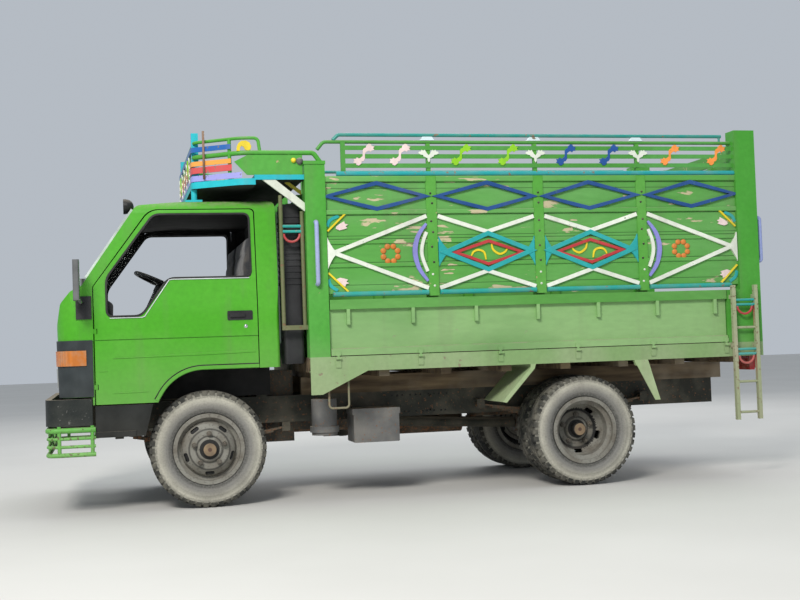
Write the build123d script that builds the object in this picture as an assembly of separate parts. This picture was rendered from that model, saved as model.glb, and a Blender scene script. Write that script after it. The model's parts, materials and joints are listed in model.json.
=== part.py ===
from build123d import *
import math
import os

# A light cab-over stake truck, built in millimetres. X runs from the front axle to the rear, Y from the
# truck's left side to its right, and Z up from the ground. Pieces on both sides are drawn on the left,
# at minus Y, and mirrored.

# Wheels and axles
wheelbase = 2545
tyre_radius = 375
tyre_width = 185
rim_radius = 228
rim_width = 165
rim_wall = 7
disc_wall = 12
bead_depth = 18
crown_half = 26
front_track_half = 697.5
twin_centre_half = 650
twin_spacing = 215
disc_offset = twin_spacing / 2
hub_radius = 78
hub_cap_radius = 46
stud_circle_radius = 101.6
stud_radius = 9
nut_radius = 17
nut_height = 22
stud_count = 5
slot_count = 5
slot_radius = 152
slot_length = 60
slot_width = 24
spindle_radius = 26
axle_tube_radius = 46
running_clearance = 0.05
face_clearance = 0.3
kingpin_half = 600
kingpin_radius = 16
kingpin_boss_radius = 34
kingpin_boss_height = 112
fork_height = 24
axle_height = tyre_radius
beam_width = 62
drum_radius = 158
front_hub_back = 38
rear_hub_back = 104

# Chassis
rail_outer = 360
rail_flange = 62
rail_height = 180
rail_wall = 7
rail_bottom = 500
rail_top = rail_bottom + rail_height
chassis_front = -970
chassis_rear = 3740
cross_member_wide = 90
cross_member_places = (-700, 1290, 1640, wheelbase - 485, wheelbase + 435, chassis_rear - 290)
spring_width = 64
leaf_thickness = 11
front_arc_radius = 2600
rear_arc_radius = 3600
front_leaves = 6
rear_leaves = 7
spring_eye_radius = 22
spring_pin_radius = 9
front_spring_half = 540
rear_spring_half = 600
hanger_wall = 7.7
hanger_half = 28
spring_seat = 18
frame_hole_radius = 6.5
frame_hole_pitch_x = 240
frame_hole_pitch_z = 100
frame_hole_centre_x = 1460

# Cab
cab_half_width = 845
cab_roof_half_width = 765
cab_belt_height = 1250
cab_front = -926
cab_rear = 470
cab_bottom = 690
cab_nose_bottom = 740
cab_nose_bend = 1190
cab_nose_top = 1330
cab_cowl_x = -838
cab_cowl_height = 1405
screen_foot_x = -768
screen_foot_height = 1440
roof_front_x = -418
roof_front_height = 1952
roof_height = 1978
cab_wall = 45
arch_height = 885
arch_corner_x = -201
arch_radius = 300
arch_foot_x = -314
door_front = -703
door_rear = 334
door_top = 1924
door_gap = 6
pillar_foot_height = 1431
pillar_top_x = -340
door_hinge_inset = 8
door_hinge_back = 10
door_hinge_heights = (800, 1150)
door_pin_radius = 4
door_barrel_radius = 7
door_barrel_half = 15
door_pin_reach = 13
door_sweep_gap = 5.5
window_front = -618
window_rear = 297
window_sill = 1240
window_belt = 1476
window_top = 1890
window_kick_low_x = -405
window_kick_high_x = -231
window_shoulder_height = 1482
window_shoulder_x = -314
screen_low = 1500
screen_high = 1905
screen_half_low = 750
screen_half_high = 690
back_window_low = 1480
back_window_high = 1800
back_window_half = 560
glass_thickness = 6

# Load body
body_front = 650
body_rear = 3860
body_half_width = 930
deck_top = 938
deck_thickness = 40
sill_bottom = 841
sill_depth = 50
sill_wall = 8
bearer_bottom = 800
bearer_wide = 70
bearer_pitch = 420
stringer_wide = 60
column_wide = 133
column_depth = 120
column_cap = 22
cap_overhang = 6
rear_column_wide = 156
drop_front = 789
drop_rear = 3596
drop_bottom = 944
drop_top = 1306
drop_thickness = 44
flange_height = 63
flange_proud = 26
lower_rail_height = 48
rib_pitch = 433.2
rib_first = 909
rib_count = 7
rib_height = 100
rib_wide = 22
hinge_first = 833
hinge_pitch = 549
hinge_count = 6
hinge_wide = 34
hinge_radius = 9
hinge_axis_out = 12
hinge_axis_height = 925
drop_swing = 180
move_gap = 6
post_centres = (1494, 2243, 2991)
post_wide = 70
post_depth = 45
strap_thickness = 10
board_thickness = 24
board_face = 905
panel_bottom = 1343
panel_top = 2074
panel_top_rail = 40
column_top = panel_top + 116
rear_post_top = column_top + 237
panel_front = body_front + column_wide
panel_rear = body_rear - rear_column_wide
board_joints = (1528, 1681, 1860)
board_gap = 6
moulding_height = 32
moulding_proud = 16
lower_tube_height = 1341
side_tube_radius = 16
side_tube_front = 815
side_tube_rear = 3640
rack_front = 900
rack_slat_height = 29
rack_slat_thickness = 6
rack_tube_radius = 12
rack_rail_height = panel_top + panel_top_rail + 233
rack_top_height = rack_rail_height + 47
rack_slats = (rack_rail_height - 161, rack_rail_height - 99, rack_rail_height - 43)
post_top = rack_rail_height - rack_tube_radius
rack_top_front = 850
rack_top_rear = 3640

# Carrier over the cab
carrier_front = -60
carrier_half_width = 900
carrier_nose_half = 690
carrier_bend_x = 250
carrier_step_x = 330
carrier_floor = roof_height + 84
carrier_floor_rear = carrier_floor + 32
carrier_floor_thickness = 42
carrier_rear_thickness = 32
carrier_slat_thickness = 8
carrier_slats = ((carrier_floor + 46, 37, 250), (carrier_floor + 98, 40, 190), (carrier_floor + 146, 30, 185),
                 (carrier_floor + 238, 32, 185))
carrier_rail_radius = 16
carrier_top_radius = 11
carrier_rail_height = carrier_floor + 210
carrier_top_height = carrier_rail_height + 96
carrier_top_rear = 320
carrier_side_high = carrier_rail_height - 17
carrier_post_top = carrier_top_height + 68
carrier_post_wide = 46
carrier_leg_x = -40
carrier_leg_half = 640

# Front end
bumper_front = -1006
bumper_bottom = 565
bumper_top = 730
bumper_rear = -719
bumper_half_width = 860
bumper_wall = 36
bumper_corner = 110
guard_front = -992
guard_rear = door_front
guard_half_width = 850
guard_bars = ((538, 17), (487, 10), (437, 10), (386, 14))
guard_corner = 60

# Steering wheel
steering_x = -221
steering_y = 380
steering_z = 1500
steering_radius = 205
steering_grip = 15
steering_tilt = 25.5

# Ladder
ladder_front = body_rear - 248
ladder_rear = body_rear - 54
ladder_top = deck_top + 397
ladder_bottom = deck_top - 536
ladder_rail_wide = 26
ladder_rail_depth = 30
ladder_face = 985

pieces = {}


def outline(corners):
    """A flat face from corners given as (u, v) or (u, v, radius)."""
    points = [(corner[0], corner[1]) for corner in corners]
    radii = [corner[2] if len(corner) > 2 else 0 for corner in corners]
    if any(radii):
        return make_face(FilletPolyline(*points, radius=radii, close=True))
    return make_face(Polyline(*points, close=True))


def across(corners, y_from, y_to):
    """A side-view outline (x, z) run across the truck."""
    plane = Plane(origin=(0, y_to, 0), x_dir=(1, 0, 0), z_dir=(0, -1, 0))
    return extrude(plane * outline(corners), amount=y_to - y_from)


def lengthwise(corners, x_from, x_to):
    """A front-view outline (y, z) run along the truck."""
    plane = Plane(origin=(x_from, 0, 0), x_dir=(0, 1, 0), z_dir=(1, 0, 0))
    return extrude(plane * outline(corners), amount=x_to - x_from)


def upright(corners, z_from, z_to):
    """A plan-view outline (x, y) run upwards."""
    return extrude(Pos(0, 0, z_from) * outline(corners), amount=z_to - z_from)


def block(x_from, x_to, y_from, y_to, z_from, z_to):
    """A box between three pairs of limits."""
    centre = Pos((x_from + x_to) / 2, (y_from + y_to) / 2, (z_from + z_to) / 2)
    return centre * Box(x_to - x_from, y_to - y_from, z_to - z_from)


def rod(start, end, radius):
    """A round bar between two points."""
    axis = Vector(*end) - Vector(*start)
    plane = Plane(origin=start, z_dir=axis)
    return extrude(plane * Circle(radius), amount=axis.length)


def bent_tube(points, bend, radius):
    """A round bar along straight runs joined by arcs of one radius."""
    path = FilletPolyline(*points, radius=bend)
    return sweep(Plane(origin=path @ 0, z_dir=path % 0) * Circle(radius), path=path)


def turned(profile, y=0):
    """A closed profile of (radius, y) turned about a wheel axis through X = 0 at axle height."""
    face = Plane(origin=(0, 0, 0), x_dir=(1, 0, 0), z_dir=(0, 0, 1)) * outline(profile)
    return Pos(0, y, axle_height) * revolve(face, axis=Axis.Y)


def mirrored(shape):
    """The same piece on the truck's right side."""
    return mirror(shape, about=Plane.XZ)


def solids_of(shapes):
    """One compound of separate solids, from shapes or lists of shapes."""
    found = []
    for shape in shapes:
        found.extend(shape.solids())
    return Compound(children=found)


def both_sides(shape):
    """The piece and its mirror image as separate solids."""
    return solids_of([shape, mirrored(shape)])


# Wheels
def tyre():
    """A tyre turned about its own middle, from bead to shoulder."""
    half = tyre_width / 2
    bead = rim_width / 2 - rim_wall - 4
    seat = rim_radius - bead_depth
    return turned([
        (seat, -bead),
        (rim_radius + 12, -bead - 4, 8),
        (rim_radius + 62, -half, 40),
        (tyre_radius - 42, -half + 4, 30),
        (tyre_radius - 4, -half + 26, 16),
        (tyre_radius, -crown_half, 200),
        (tyre_radius, crown_half, 200),
        (tyre_radius - 4, half - 26, 16),
        (tyre_radius - 42, half - 4, 30),
        (rim_radius + 62, half, 40),
        (rim_radius + 12, bead + 4, 8),
        (seat, bead),
    ])


def rim():
    """A disc wheel whose disc stands out towards minus Y, centred on its rim."""
    half = rim_width / 2
    seat = rim_radius - bead_depth - face_clearance
    well = seat - 26
    inside = well - rim_wall
    face = -disc_offset
    body = turned([
        (seat, -half + rim_wall),
        (rim_radius, -half + rim_wall),
        (rim_radius, -half),
        (seat - rim_wall, -half),
        (seat - rim_wall, -half + 34),
        (inside, -half + 46),
        (inside, half - 46),
        (seat - rim_wall, half - 34),
        (seat - rim_wall, half),
        (rim_radius, half),
        (rim_radius, half - rim_wall),
        (seat, half - rim_wall),
        (seat, half - 36),
        (well, half - 50),
        (well, -half + 50),
        (seat, -half + 36),
    ])
    disc = turned([
        (hub_radius, face),
        (stud_circle_radius + 28, face, 10),
        (slot_radius + 12, face + 34, 16),
        (inside + 2, face + 70),
        (inside + 2, face + 70 + disc_wall),
        (slot_radius + 8, face + 34 + disc_wall, 16),
        (stud_circle_radius + 26, face + disc_wall, 10),
        (hub_radius, face + disc_wall),
    ])
    wheel = body + disc
    slot_axis = Plane(origin=(0, 0, axle_height), z_dir=(0, -1, 0), x_dir=(1, 0, 0))
    for number in range(slot_count):
        angle = 360 / slot_count * number + 54
        slot_shape = Pos(slot_radius, 0) * SlotOverall(slot_length, slot_width, 90)
        slot = extrude(slot_axis * (Rot(0, 0, angle) * slot_shape),
                       amount=disc_offset + 20)
        wheel -= slot
    return wheel


def hub(face, clamped, back, bore, bore_depth, cap_height):
    """A hub and brake drum, its discs clamped from face inwards, with studs, nuts and a cap at minus Y."""
    flange = face + clamped
    body = turned([
        (0, face - cap_height),
        (hub_cap_radius, face - cap_height, 8),
        (hub_cap_radius, face - 16),
        (hub_radius - 6, face - 12),
        (hub_radius, face - 6),
        (hub_radius, flange),
        (stud_circle_radius + 22, flange),
        (drum_radius, flange + 22),
        (drum_radius, back),
        (bore, back),
        (bore, back - bore_depth),
        (0, back - bore_depth),
    ])
    for number in range(stud_count):
        angle = math.radians(360 / stud_count * number + 90)
        x = stud_circle_radius * math.cos(angle)
        z = axle_height + stud_circle_radius * math.sin(angle)
        nut = rod((x, face + 1, z), (x, face - nut_height, z), nut_radius)
        stud = rod((x, face, z), (x, face - nut_height - 12, z), stud_radius)
        body += nut + stud
    return body


wheel_tyre = tyre()
wheel_rim = rim()
front_hub = hub(-disc_offset, disc_wall, front_hub_back, spindle_radius + running_clearance, 96, 46)
front_wheel_place = Pos(0, -front_track_half, 0)
pieces["tyre_front_left"] = front_wheel_place * wheel_tyre
pieces["rim_front_left"] = front_wheel_place * (wheel_rim + front_hub)

outer_place = Pos(wheelbase, -twin_centre_half - twin_spacing / 2, 0)
inner_place = Pos(wheelbase, -twin_centre_half + twin_spacing / 2, 0)
turned_rim = mirrored(wheel_rim)
rear_hub = hub(-disc_wall, 2 * disc_wall, rear_hub_back, axle_tube_radius + running_clearance, 100, 78)
rear_hub = Pos(wheelbase, -twin_centre_half, 0) * rear_hub
pieces["tyres_rear_left"] = solids_of([outer_place * wheel_tyre, inner_place * wheel_tyre])
pieces["rims_rear_left"] = outer_place * turned_rim + inner_place * wheel_rim + rear_hub

# Steering knuckles: a fork round the beam's end, the kingpin through both, and the wheel's spindle
fork_half = kingpin_boss_height / 2 + face_clearance
fork_face = kingpin_half + kingpin_boss_radius + 4
spindle_end = front_track_half - front_hub_back + 90
knuckle = block(-30, 30, -fork_face - 16, -fork_face, axle_height - fork_half - fork_height,
                axle_height + fork_half + fork_height)
for level in (axle_height - fork_half - fork_height, axle_height + fork_half):
    ear = upright([(-30, -fork_face - 2), (-30, -kingpin_half + 30, 28), (30, -kingpin_half + 30, 28),
                   (30, -fork_face - 2)], level, level + fork_height)
    knuckle += ear
knuckle += rod((0, -kingpin_half, axle_height - fork_half - 6),
               (0, -kingpin_half, axle_height + fork_half + 6),
               kingpin_radius)
knuckle += rod((0, -fork_face, axle_height), (0, -spindle_end, axle_height), spindle_radius)
knuckle += block(24, 150, -kingpin_half - 12, -kingpin_half + 12, axle_height - fork_half - fork_height,
                 axle_height - fork_half)
pieces["knuckle_left"] = knuckle

# Front axle: a dropped I-beam with a kingpin boss at each end
beam_low = axle_height - 40
beam = lengthwise([
    (-kingpin_half + 20, axle_height - 36), (-kingpin_half + 110, axle_height - 38, 60),
    (-400, beam_low - 62, 60),
    (400, beam_low - 62, 60), (kingpin_half - 110, axle_height - 38, 60),
    (kingpin_half - 20, axle_height - 36),
    (kingpin_half - 20, axle_height + 36), (kingpin_half - 110, axle_height + 38, 60),
    (390, beam_low + 14, 60), (-390, beam_low + 14, 60), (-kingpin_half + 110, axle_height + 38, 60),
    (-kingpin_half + 20, axle_height + 36)], -beam_width / 2, beam_width / 2)
for side in (-1, 1):
    boss_low = (0, side * kingpin_half, axle_height - kingpin_boss_height / 2)
    boss_high = (0, side * kingpin_half, axle_height + kingpin_boss_height / 2)
    beam += rod(boss_low, boss_high, kingpin_boss_radius)
for side in (-1, 1):
    low = (0, side * kingpin_half, axle_height - kingpin_boss_height)
    high = (0, side * kingpin_half, axle_height + kingpin_boss_height)
    beam -= rod(low, high, kingpin_radius + running_clearance)
pieces["front_axle"] = beam

# Rear axle: a tube with a swollen middle for the gears
axle_end = twin_centre_half - rear_hub_back + 96
banjo = Pos(wheelbase, 0, axle_height) * Sphere(150)
rear_axle = rod((wheelbase, -axle_end, axle_height), (wheelbase, axle_end, axle_height), axle_tube_radius)
rear_axle += banjo
nose_length = 230
rear_axle += rod((wheelbase - nose_length, 0, axle_height + 20), (wheelbase - 100, 0, axle_height), 62)
pieces["rear_axle"] = rear_axle


# Leaf springs: nested arcs, shorter towards the axle, with an eye at each end of the main leaf
front_spring_middle = rail_outer - rail_flange / 2
rear_spring_middle = rail_outer + hanger_wall + face_clearance + spring_width / 2
front_spring_low = beam_low + 14
rear_spring_low = axle_height + axle_tube_radius + spring_seat


def leaf_spring(centre_x, middle, half_length, leaf_count, low, arc_radius):
    """A pack resting on its axle seat at low, its main leaf uppermost. Gives the pack and its eyes' height."""
    centre_height = low + leaf_count * leaf_thickness + arc_radius
    plane = Plane(origin=(centre_x, -middle + spring_width / 2, 0), x_dir=(1, 0, 0), z_dir=(0, -1, 0))
    pack = None
    for number in range(leaf_count):
        reach = half_length * (1 - 0.8 * number / leaf_count)
        inner = arc_radius + number * leaf_thickness
        outer = inner + leaf_thickness
        angle = math.asin(reach / inner)
        ends = [(r * math.sin(a), centre_height - r * math.cos(a)) for r, a in
                ((inner, -angle), (inner, angle), (outer, angle), (outer, -angle))]
        profile = make_face([
            ThreePointArc(ends[0], (0, centre_height - inner), ends[1]),
            Line(ends[1], ends[2]),
            ThreePointArc(ends[2], (0, centre_height - outer), ends[3]),
            Line(ends[3], ends[0]),
        ])
        leaf = extrude(plane * profile, amount=spring_width)
        pack = leaf if pack is None else pack + leaf
    angle = math.asin(half_length / arc_radius)
    eye_height = centre_height - (arc_radius + leaf_thickness / 2) * math.cos(angle)
    for x in spring_eye_places(centre_x, half_length):
        pack += rod((x, -middle - spring_width / 2, eye_height), (x, -middle + spring_width / 2, eye_height),
                    spring_eye_radius)
        pack -= rod((x, -middle - spring_width, eye_height), (x, -middle + spring_width, eye_height),
                    spring_pin_radius + running_clearance)
    return pack, eye_height


def spring_eye_places(centre_x, half_length):
    """Where the two eyes stand along the truck."""
    reach = half_length + spring_eye_radius - leaf_thickness / 2
    return (centre_x - reach, centre_x + reach)


front_spring, front_eye_height = leaf_spring(
    0, front_spring_middle, front_spring_half, front_leaves, front_spring_low, front_arc_radius)
rear_spring, rear_eye_height = leaf_spring(
    wheelbase, rear_spring_middle, rear_spring_half, rear_leaves, rear_spring_low, rear_arc_radius)
pieces["leaf_springs"] = solids_of([both_sides(front_spring), both_sides(rear_spring)])
seat = block(wheelbase - 55, wheelbase + 55, -rear_spring_middle - spring_width / 2,
             -rear_spring_middle + spring_width / 2, axle_height, rear_spring_low)
pieces["rear_axle"] += seat + mirrored(seat)


# Chassis: two channel rails, cross members and the spring hangers
def channel_rail():
    """The left rail, a channel open towards the middle."""
    inner = -rail_outer + rail_flange
    return lengthwise([
        (-rail_outer, rail_bottom), (inner, rail_bottom), (inner, rail_bottom + rail_wall),
        (-rail_outer + rail_wall, rail_bottom + rail_wall), (-rail_outer + rail_wall, rail_top - rail_wall),
        (inner, rail_top - rail_wall), (inner, rail_top), (-rail_outer, rail_top)],
        chassis_front, chassis_rear)


def hanger(x, middle, eye_height, head):
    """Two plates beside a spring eye, the pin through it, and a head plate that ends at height head."""
    wide = spring_width / 2 + face_clearance + hanger_wall
    result = block(x - hanger_half, x + hanger_half, -middle - wide, -middle + wide, head - hanger_wall, head)
    for side in (-1, 1):
        edges = sorted((-middle + side * wide, -middle + side * (wide - hanger_wall)))
        result += block(x - hanger_half, x + hanger_half, edges[0], edges[1], eye_height - 26, head)
    result += rod((x, -middle - wide, eye_height), (x, -middle + wide, eye_height), spring_pin_radius)
    return result


chassis_left = channel_rail()
for x in spring_eye_places(0, front_spring_half):
    chassis_left += hanger(x, front_spring_middle, front_eye_height, rail_bottom)
for x in spring_eye_places(wheelbase, rear_spring_half):
    chassis_left += hanger(x, rear_spring_middle, rear_eye_height, rear_eye_height + 40)
chassis_left += block(cab_front + 300, cab_front + 380, -rail_outer, -rail_outer + rail_flange, rail_top,
                      cab_bottom)
chassis_left += block(cab_rear - 110, cab_rear - 40, -rail_outer, -rail_outer + rail_flange, rail_top,
                      arch_height)
for column in (-1, 1):
    for row in (-1, 1):
        x = frame_hole_centre_x + column * frame_hole_pitch_x / 2
        z = (rail_bottom + rail_top) / 2 + row * frame_hole_pitch_z / 2
        chassis_left -= rod((x, -rail_outer - 10, z), (x, -rail_outer + rail_wall + 10, z), frame_hole_radius)
chassis = chassis_left + mirrored(chassis_left)
inside = rail_outer - rail_wall
for x in cross_member_places:
    member = lengthwise([
        (-inside, rail_bottom + rail_wall), (inside, rail_bottom + rail_wall),
        (inside, rail_top - rail_wall), (-inside, rail_top - rail_wall)], x, x + cross_member_wide)
    member -= block(x + rail_wall, x + cross_member_wide + 1, -inside + rail_wall, inside - rail_wall,
                    rail_bottom + 2 * rail_wall, rail_top - 2 * rail_wall)
    chassis += member
closing = block(chassis_rear - 12, chassis_rear, -inside, inside, rail_bottom + rail_wall,
                rail_top - rail_wall)
chassis += closing
pieces["chassis_frame"] = chassis

# Running gear between the rails
engine_half = 230
engine_front = 70
engine_rear = 630
engine_low = 360
engine_top = 850
gearbox_rear = 1240
engine = block(engine_front, engine_rear, -engine_half, engine_half, engine_low, engine_top)
engine += block(engine_rear, gearbox_rear, -130, 130, rail_bottom - 70, rail_top - 30)
for side in (-1, 1):
    edges = sorted((side * (engine_half - 1), side * (rail_outer - rail_wall)))
    engine += block(engine_front + 200, engine_front + 280, edges[0], edges[1], rail_bottom + 20,
                    rail_bottom + 70)
pieces["engine_block"] = engine
shaft_radius = 38
pinion_end = wheelbase - nose_length - 6
shaft_start = (gearbox_rear - 20, 0, rail_bottom - 40)
shaft_end = (pinion_end + 26, 0, axle_height + 22)
shaft_zone = block(gearbox_rear, pinion_end, -2 * shaft_radius, 2 * shaft_radius, axle_height - 100, rail_top)
pieces["propeller_shaft"] = rod(shaft_start, shaft_end, shaft_radius) & shaft_zone

# Tanks and boxes hung on the rails
box_front = 977
box_rear = 1289
box_low = 353
box_top = 580
box_face = 640
drum_centre_x = 790
drum_side_radius = 86
drum_low = 413
drum_high = 655
tank_front = 950
tank_rear = 1750
tank_low = 330
tank_high = 590
tank_face = 780
battery = across([(box_front, box_low, 8), (box_rear, box_low, 8), (box_rear, box_top - 40),
                  (box_rear + 8, box_top - 40), (box_rear + 8, box_top, 6), (box_front - 8, box_top, 6),
                  (box_front - 8, box_top - 40), (box_front, box_top - 40)], -box_face, -rail_outer - 40)
for x in (box_front + 60, box_rear - 90):
    battery += block(x, x + 30, -rail_outer - 41, -rail_outer, rail_bottom + 10, box_top - 20)
pieces["battery_box"] = battery
drum = rod((drum_centre_x, -rail_outer - 200, drum_low), (drum_centre_x, -rail_outer - 200, drum_high),
           drum_side_radius)
drum += rod((drum_centre_x, -rail_outer - 200, drum_low + 20),
            (drum_centre_x, -rail_outer - 200, drum_low + 60),
            drum_side_radius + 12)
drum += block(drum_centre_x - 30, drum_centre_x + 30, -rail_outer - 130, -rail_outer, rail_bottom + 20,
              rail_bottom + 120)
pieces["air_drum"] = drum
tank = lengthwise([(rail_outer + 30, tank_low, 50), (tank_face, tank_low, 50), (tank_face, tank_high, 50),
                   (rail_outer + 30, tank_high, 50)], tank_front, tank_rear)
for x in (tank_front + 120, tank_rear - 170):
    tank += lengthwise([(rail_outer + 26, tank_low - 4, 54), (tank_face + 4, tank_low - 4, 54),
                        (tank_face + 4, tank_high + 4, 54), (rail_outer + 26, tank_high + 4, 54)], x, x + 50)
    tank += block(x, x + 50, rail_outer, rail_outer + 31, rail_bottom + 10, tank_high - 20)
tank += rod((tank_front + 90, tank_face - 60, tank_high - 10),
            (tank_front + 90, tank_face - 20, tank_high + 70), 28)
pieces["fuel_tank"] = tank
silencer_radius = 78
pipe_radius = 26
silencer_y = 200
silencer_front = 1360
silencer_rear = 1950
silencer_height = rail_bottom - silencer_radius - 6
tail_height = rail_bottom + rail_wall - pipe_radius - 10
pipe_end = wheelbase + 785
exhaust = rod((silencer_front, silencer_y, silencer_height), (silencer_rear, silencer_y, silencer_height),
              silencer_radius)
exhaust += rod((engine_rear, silencer_y, silencer_height), (silencer_front + 5, silencer_y, silencer_height),
               pipe_radius)
exhaust += bent_tube([(silencer_rear - 5, silencer_y, silencer_height),
                      (silencer_rear + 50, silencer_y, silencer_height),
                      (silencer_rear + 130, silencer_y, tail_height), (pipe_end, silencer_y, tail_height)],
                     50, pipe_radius)
exhaust += block(cross_member_places[2] + 20, cross_member_places[2] + 50, silencer_y - 12, silencer_y + 12,
                 silencer_height + silencer_radius - 10, rail_bottom + rail_wall)
exhaust += block(cross_member_places[4] + 20, cross_member_places[4] + 50, silencer_y - 12, silencer_y + 12,
                 tail_height, rail_bottom + rail_wall)
pieces["exhaust"] = exhaust

# Cab: one outer form, cut from a side view, a front view and a plan, and the same form set in by a wall
cab_side = [
    (cab_front + 14, cab_nose_bottom), (cab_front, cab_nose_bend, 200), (cab_front + 24, cab_nose_top, 50),
    (cab_cowl_x, cab_cowl_height, 30), (screen_foot_x, screen_foot_height, 20),
    (roof_front_x, roof_front_height, 60), (roof_front_x + 290, roof_height, 300),
    (cab_rear, roof_height, 40),
    (cab_rear, arch_height), (arch_corner_x, arch_height, arch_radius), (arch_foot_x, cab_bottom),
    (door_front - 12, cab_bottom), (door_front - 12, cab_nose_bottom)]
cab_section = [
    (-cab_half_width, cab_bottom - 90), (-cab_half_width, cab_belt_height, 900),
    (-cab_roof_half_width, roof_height, 90), (cab_roof_half_width, roof_height, 90),
    (cab_half_width, cab_belt_height, 900), (cab_half_width, cab_bottom - 90)]
plan_half = cab_half_width + 2
cab_plan = [(cab_front, -plan_half, 150), (cab_rear, -plan_half, 30), (cab_rear, plan_half, 30),
            (cab_front, plan_half, 150)]
cab_margin = 60
side_plane = Plane(origin=(0, cab_half_width + cab_margin, 0), x_dir=(1, 0, 0), z_dir=(0, -1, 0))
section_plane = Plane(origin=(cab_front - cab_margin, 0, 0), x_dir=(0, 1, 0), z_dir=(1, 0, 0))
plan_plane = Plane(origin=(0, 0, cab_bottom - cab_margin))
cab_length = cab_rear - cab_front


def set_in(corners, inset):
    """The outline with every edge moved inwards by inset, its corner arcs kept concentric."""
    count = len(corners)
    area = sum(corners[i - 1][0] * corners[i][1] - corners[i][0] * corners[i - 1][1] for i in range(count))
    way = math.copysign(1, area)
    result = []
    for i in range(count):
        before, here, after = corners[i - 1], corners[i], corners[(i + 1) % count]
        length_in = math.dist(before[:2], here[:2])
        length_out = math.dist(here[:2], after[:2])
        normal_in = (way * (before[1] - here[1]) / length_in, way * (here[0] - before[0]) / length_in)
        normal_out = (way * (here[1] - after[1]) / length_out, way * (after[0] - here[0]) / length_out)
        shift = inset / (1 + normal_in[0] * normal_out[0] + normal_in[1] * normal_out[1])
        turn = way * (normal_in[0] * normal_out[1] - normal_in[1] * normal_out[0])
        radius = here[2] if len(here) > 2 else 0
        if radius:
            radius = max(radius - math.copysign(1, turn) * inset, 0)
        result.append((here[0] + shift * (normal_in[0] + normal_out[0]),
                       here[1] + shift * (normal_in[1] + normal_out[1]), radius))
    return result


def cab_section_solid(inset):
    """The front-view form, longer than the cab."""
    return extrude(section_plane * outline(set_in(cab_section, inset)), amount=cab_length + 2 * cab_margin)


def cab_form(inset):
    """The cab's solid outer form, set in by inset all round."""
    form = extrude(side_plane * outline(set_in(cab_side, inset)), amount=2 * (cab_half_width + cab_margin))
    form &= cab_section_solid(inset)
    return form & extrude(plan_plane * outline(set_in(cab_plan, inset)),
                          amount=roof_height - cab_bottom + 2 * cab_margin)


def door_prism(gap, y_from, y_to):
    """The door's outline as seen from the side, less a gap all round."""
    return across([
        (door_front + gap, cab_bottom - 50), (door_front + gap, pillar_foot_height, 30),
        (pillar_top_x + gap, door_top - gap, 120), (door_rear - gap, door_top - gap, 30),
        (door_rear - gap, cab_bottom - 50)], y_from, y_to)


cab_outer = cab_form(0)
cab_shell = cab_outer - cab_form(cab_wall)
left_half = block(cab_front - 20, cab_rear + 20, -cab_half_width - 20, -cab_half_width / 2, cab_bottom - 20,
                  roof_height + 20)
side_skin = (cab_outer - cab_section_solid(cab_wall)) & left_half
side_opening = (cab_outer - cab_section_solid(cab_wall + door_gap)) & left_half
opening = side_opening & door_prism(0, -cab_half_width - 20, -cab_half_width / 2)
cab_shell -= opening
cab_shell -= mirrored(opening)

# Inner panels of the front wheel arches, each with a flange under the arch
housing_inner = 400
housing_wall = 6
housing_flange = 34
housing_low = cab_bottom + 4
arch_line = [(cab_rear - 20, arch_height), (arch_corner_x, arch_height, arch_radius),
             (arch_foot_x + 4 * (arch_corner_x - arch_foot_x) / (arch_height - cab_bottom), housing_low)]
housing = across(arch_line + [(cab_rear - 20, housing_low)], -housing_inner - housing_wall, -housing_inner)
flange_inside = set_in(arch_line + [(cab_rear - 20, housing_low)], housing_wall)
housing += (across(arch_line + [(cab_rear - 20, housing_low)], -housing_inner - housing_flange,
                   -housing_inner)
            - across(flange_inside, -housing_inner - housing_flange - 1, -housing_inner + 1)
            - block(arch_foot_x - 200, cab_rear, -housing_inner - housing_flange - 1, -housing_inner + 1,
                    housing_low - 1, housing_low + housing_wall + 1)
            - block(cab_rear - 20 - housing_wall - 1, cab_rear, -housing_inner - housing_flange - 1,
                    -housing_inner + 1,
                    housing_low - 1, arch_height - housing_wall - 0.01))
pieces["wheel_housings"] = both_sides(housing)

# Windscreen and back window openings, and their glass set into the wall
screen_window = [(-screen_half_low, screen_low, 60), (-screen_half_high, screen_high, 60),
                 (screen_half_high, screen_high, 60), (screen_half_low, screen_low, 60)]
back_window = [(-back_window_half, back_window_low, 50), (-back_window_half, back_window_high, 50),
               (back_window_half, back_window_high, 50), (back_window_half, back_window_low, 50)]
screen_prism = lengthwise(screen_window, cab_front, roof_front_x + 60)
back_prism = lengthwise(back_window, cab_rear - cab_wall - 20, cab_rear + 20)
glass_inset = 14
glass_skin = cab_form(glass_inset) - cab_form(glass_inset + glass_thickness)
screen_glass_prism = extrude(
    Plane(origin=(cab_front, 0, 0), x_dir=(0, 1, 0),
          z_dir=(1, 0, 0)) * outline(set_in(screen_window, face_clearance)),
    amount=roof_front_x + 60 - cab_front)
back_glass_prism = extrude(
    Plane(origin=(cab_rear - cab_wall, 0, 0), x_dir=(0, 1, 0),
          z_dir=(1, 0, 0)) * outline(set_in(back_window, face_clearance)),
    amount=cab_wall)
cab_shell -= screen_prism + back_prism
pieces["cab_glass"] = solids_of([glass_skin & screen_glass_prism, glass_skin & back_glass_prism])

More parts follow.
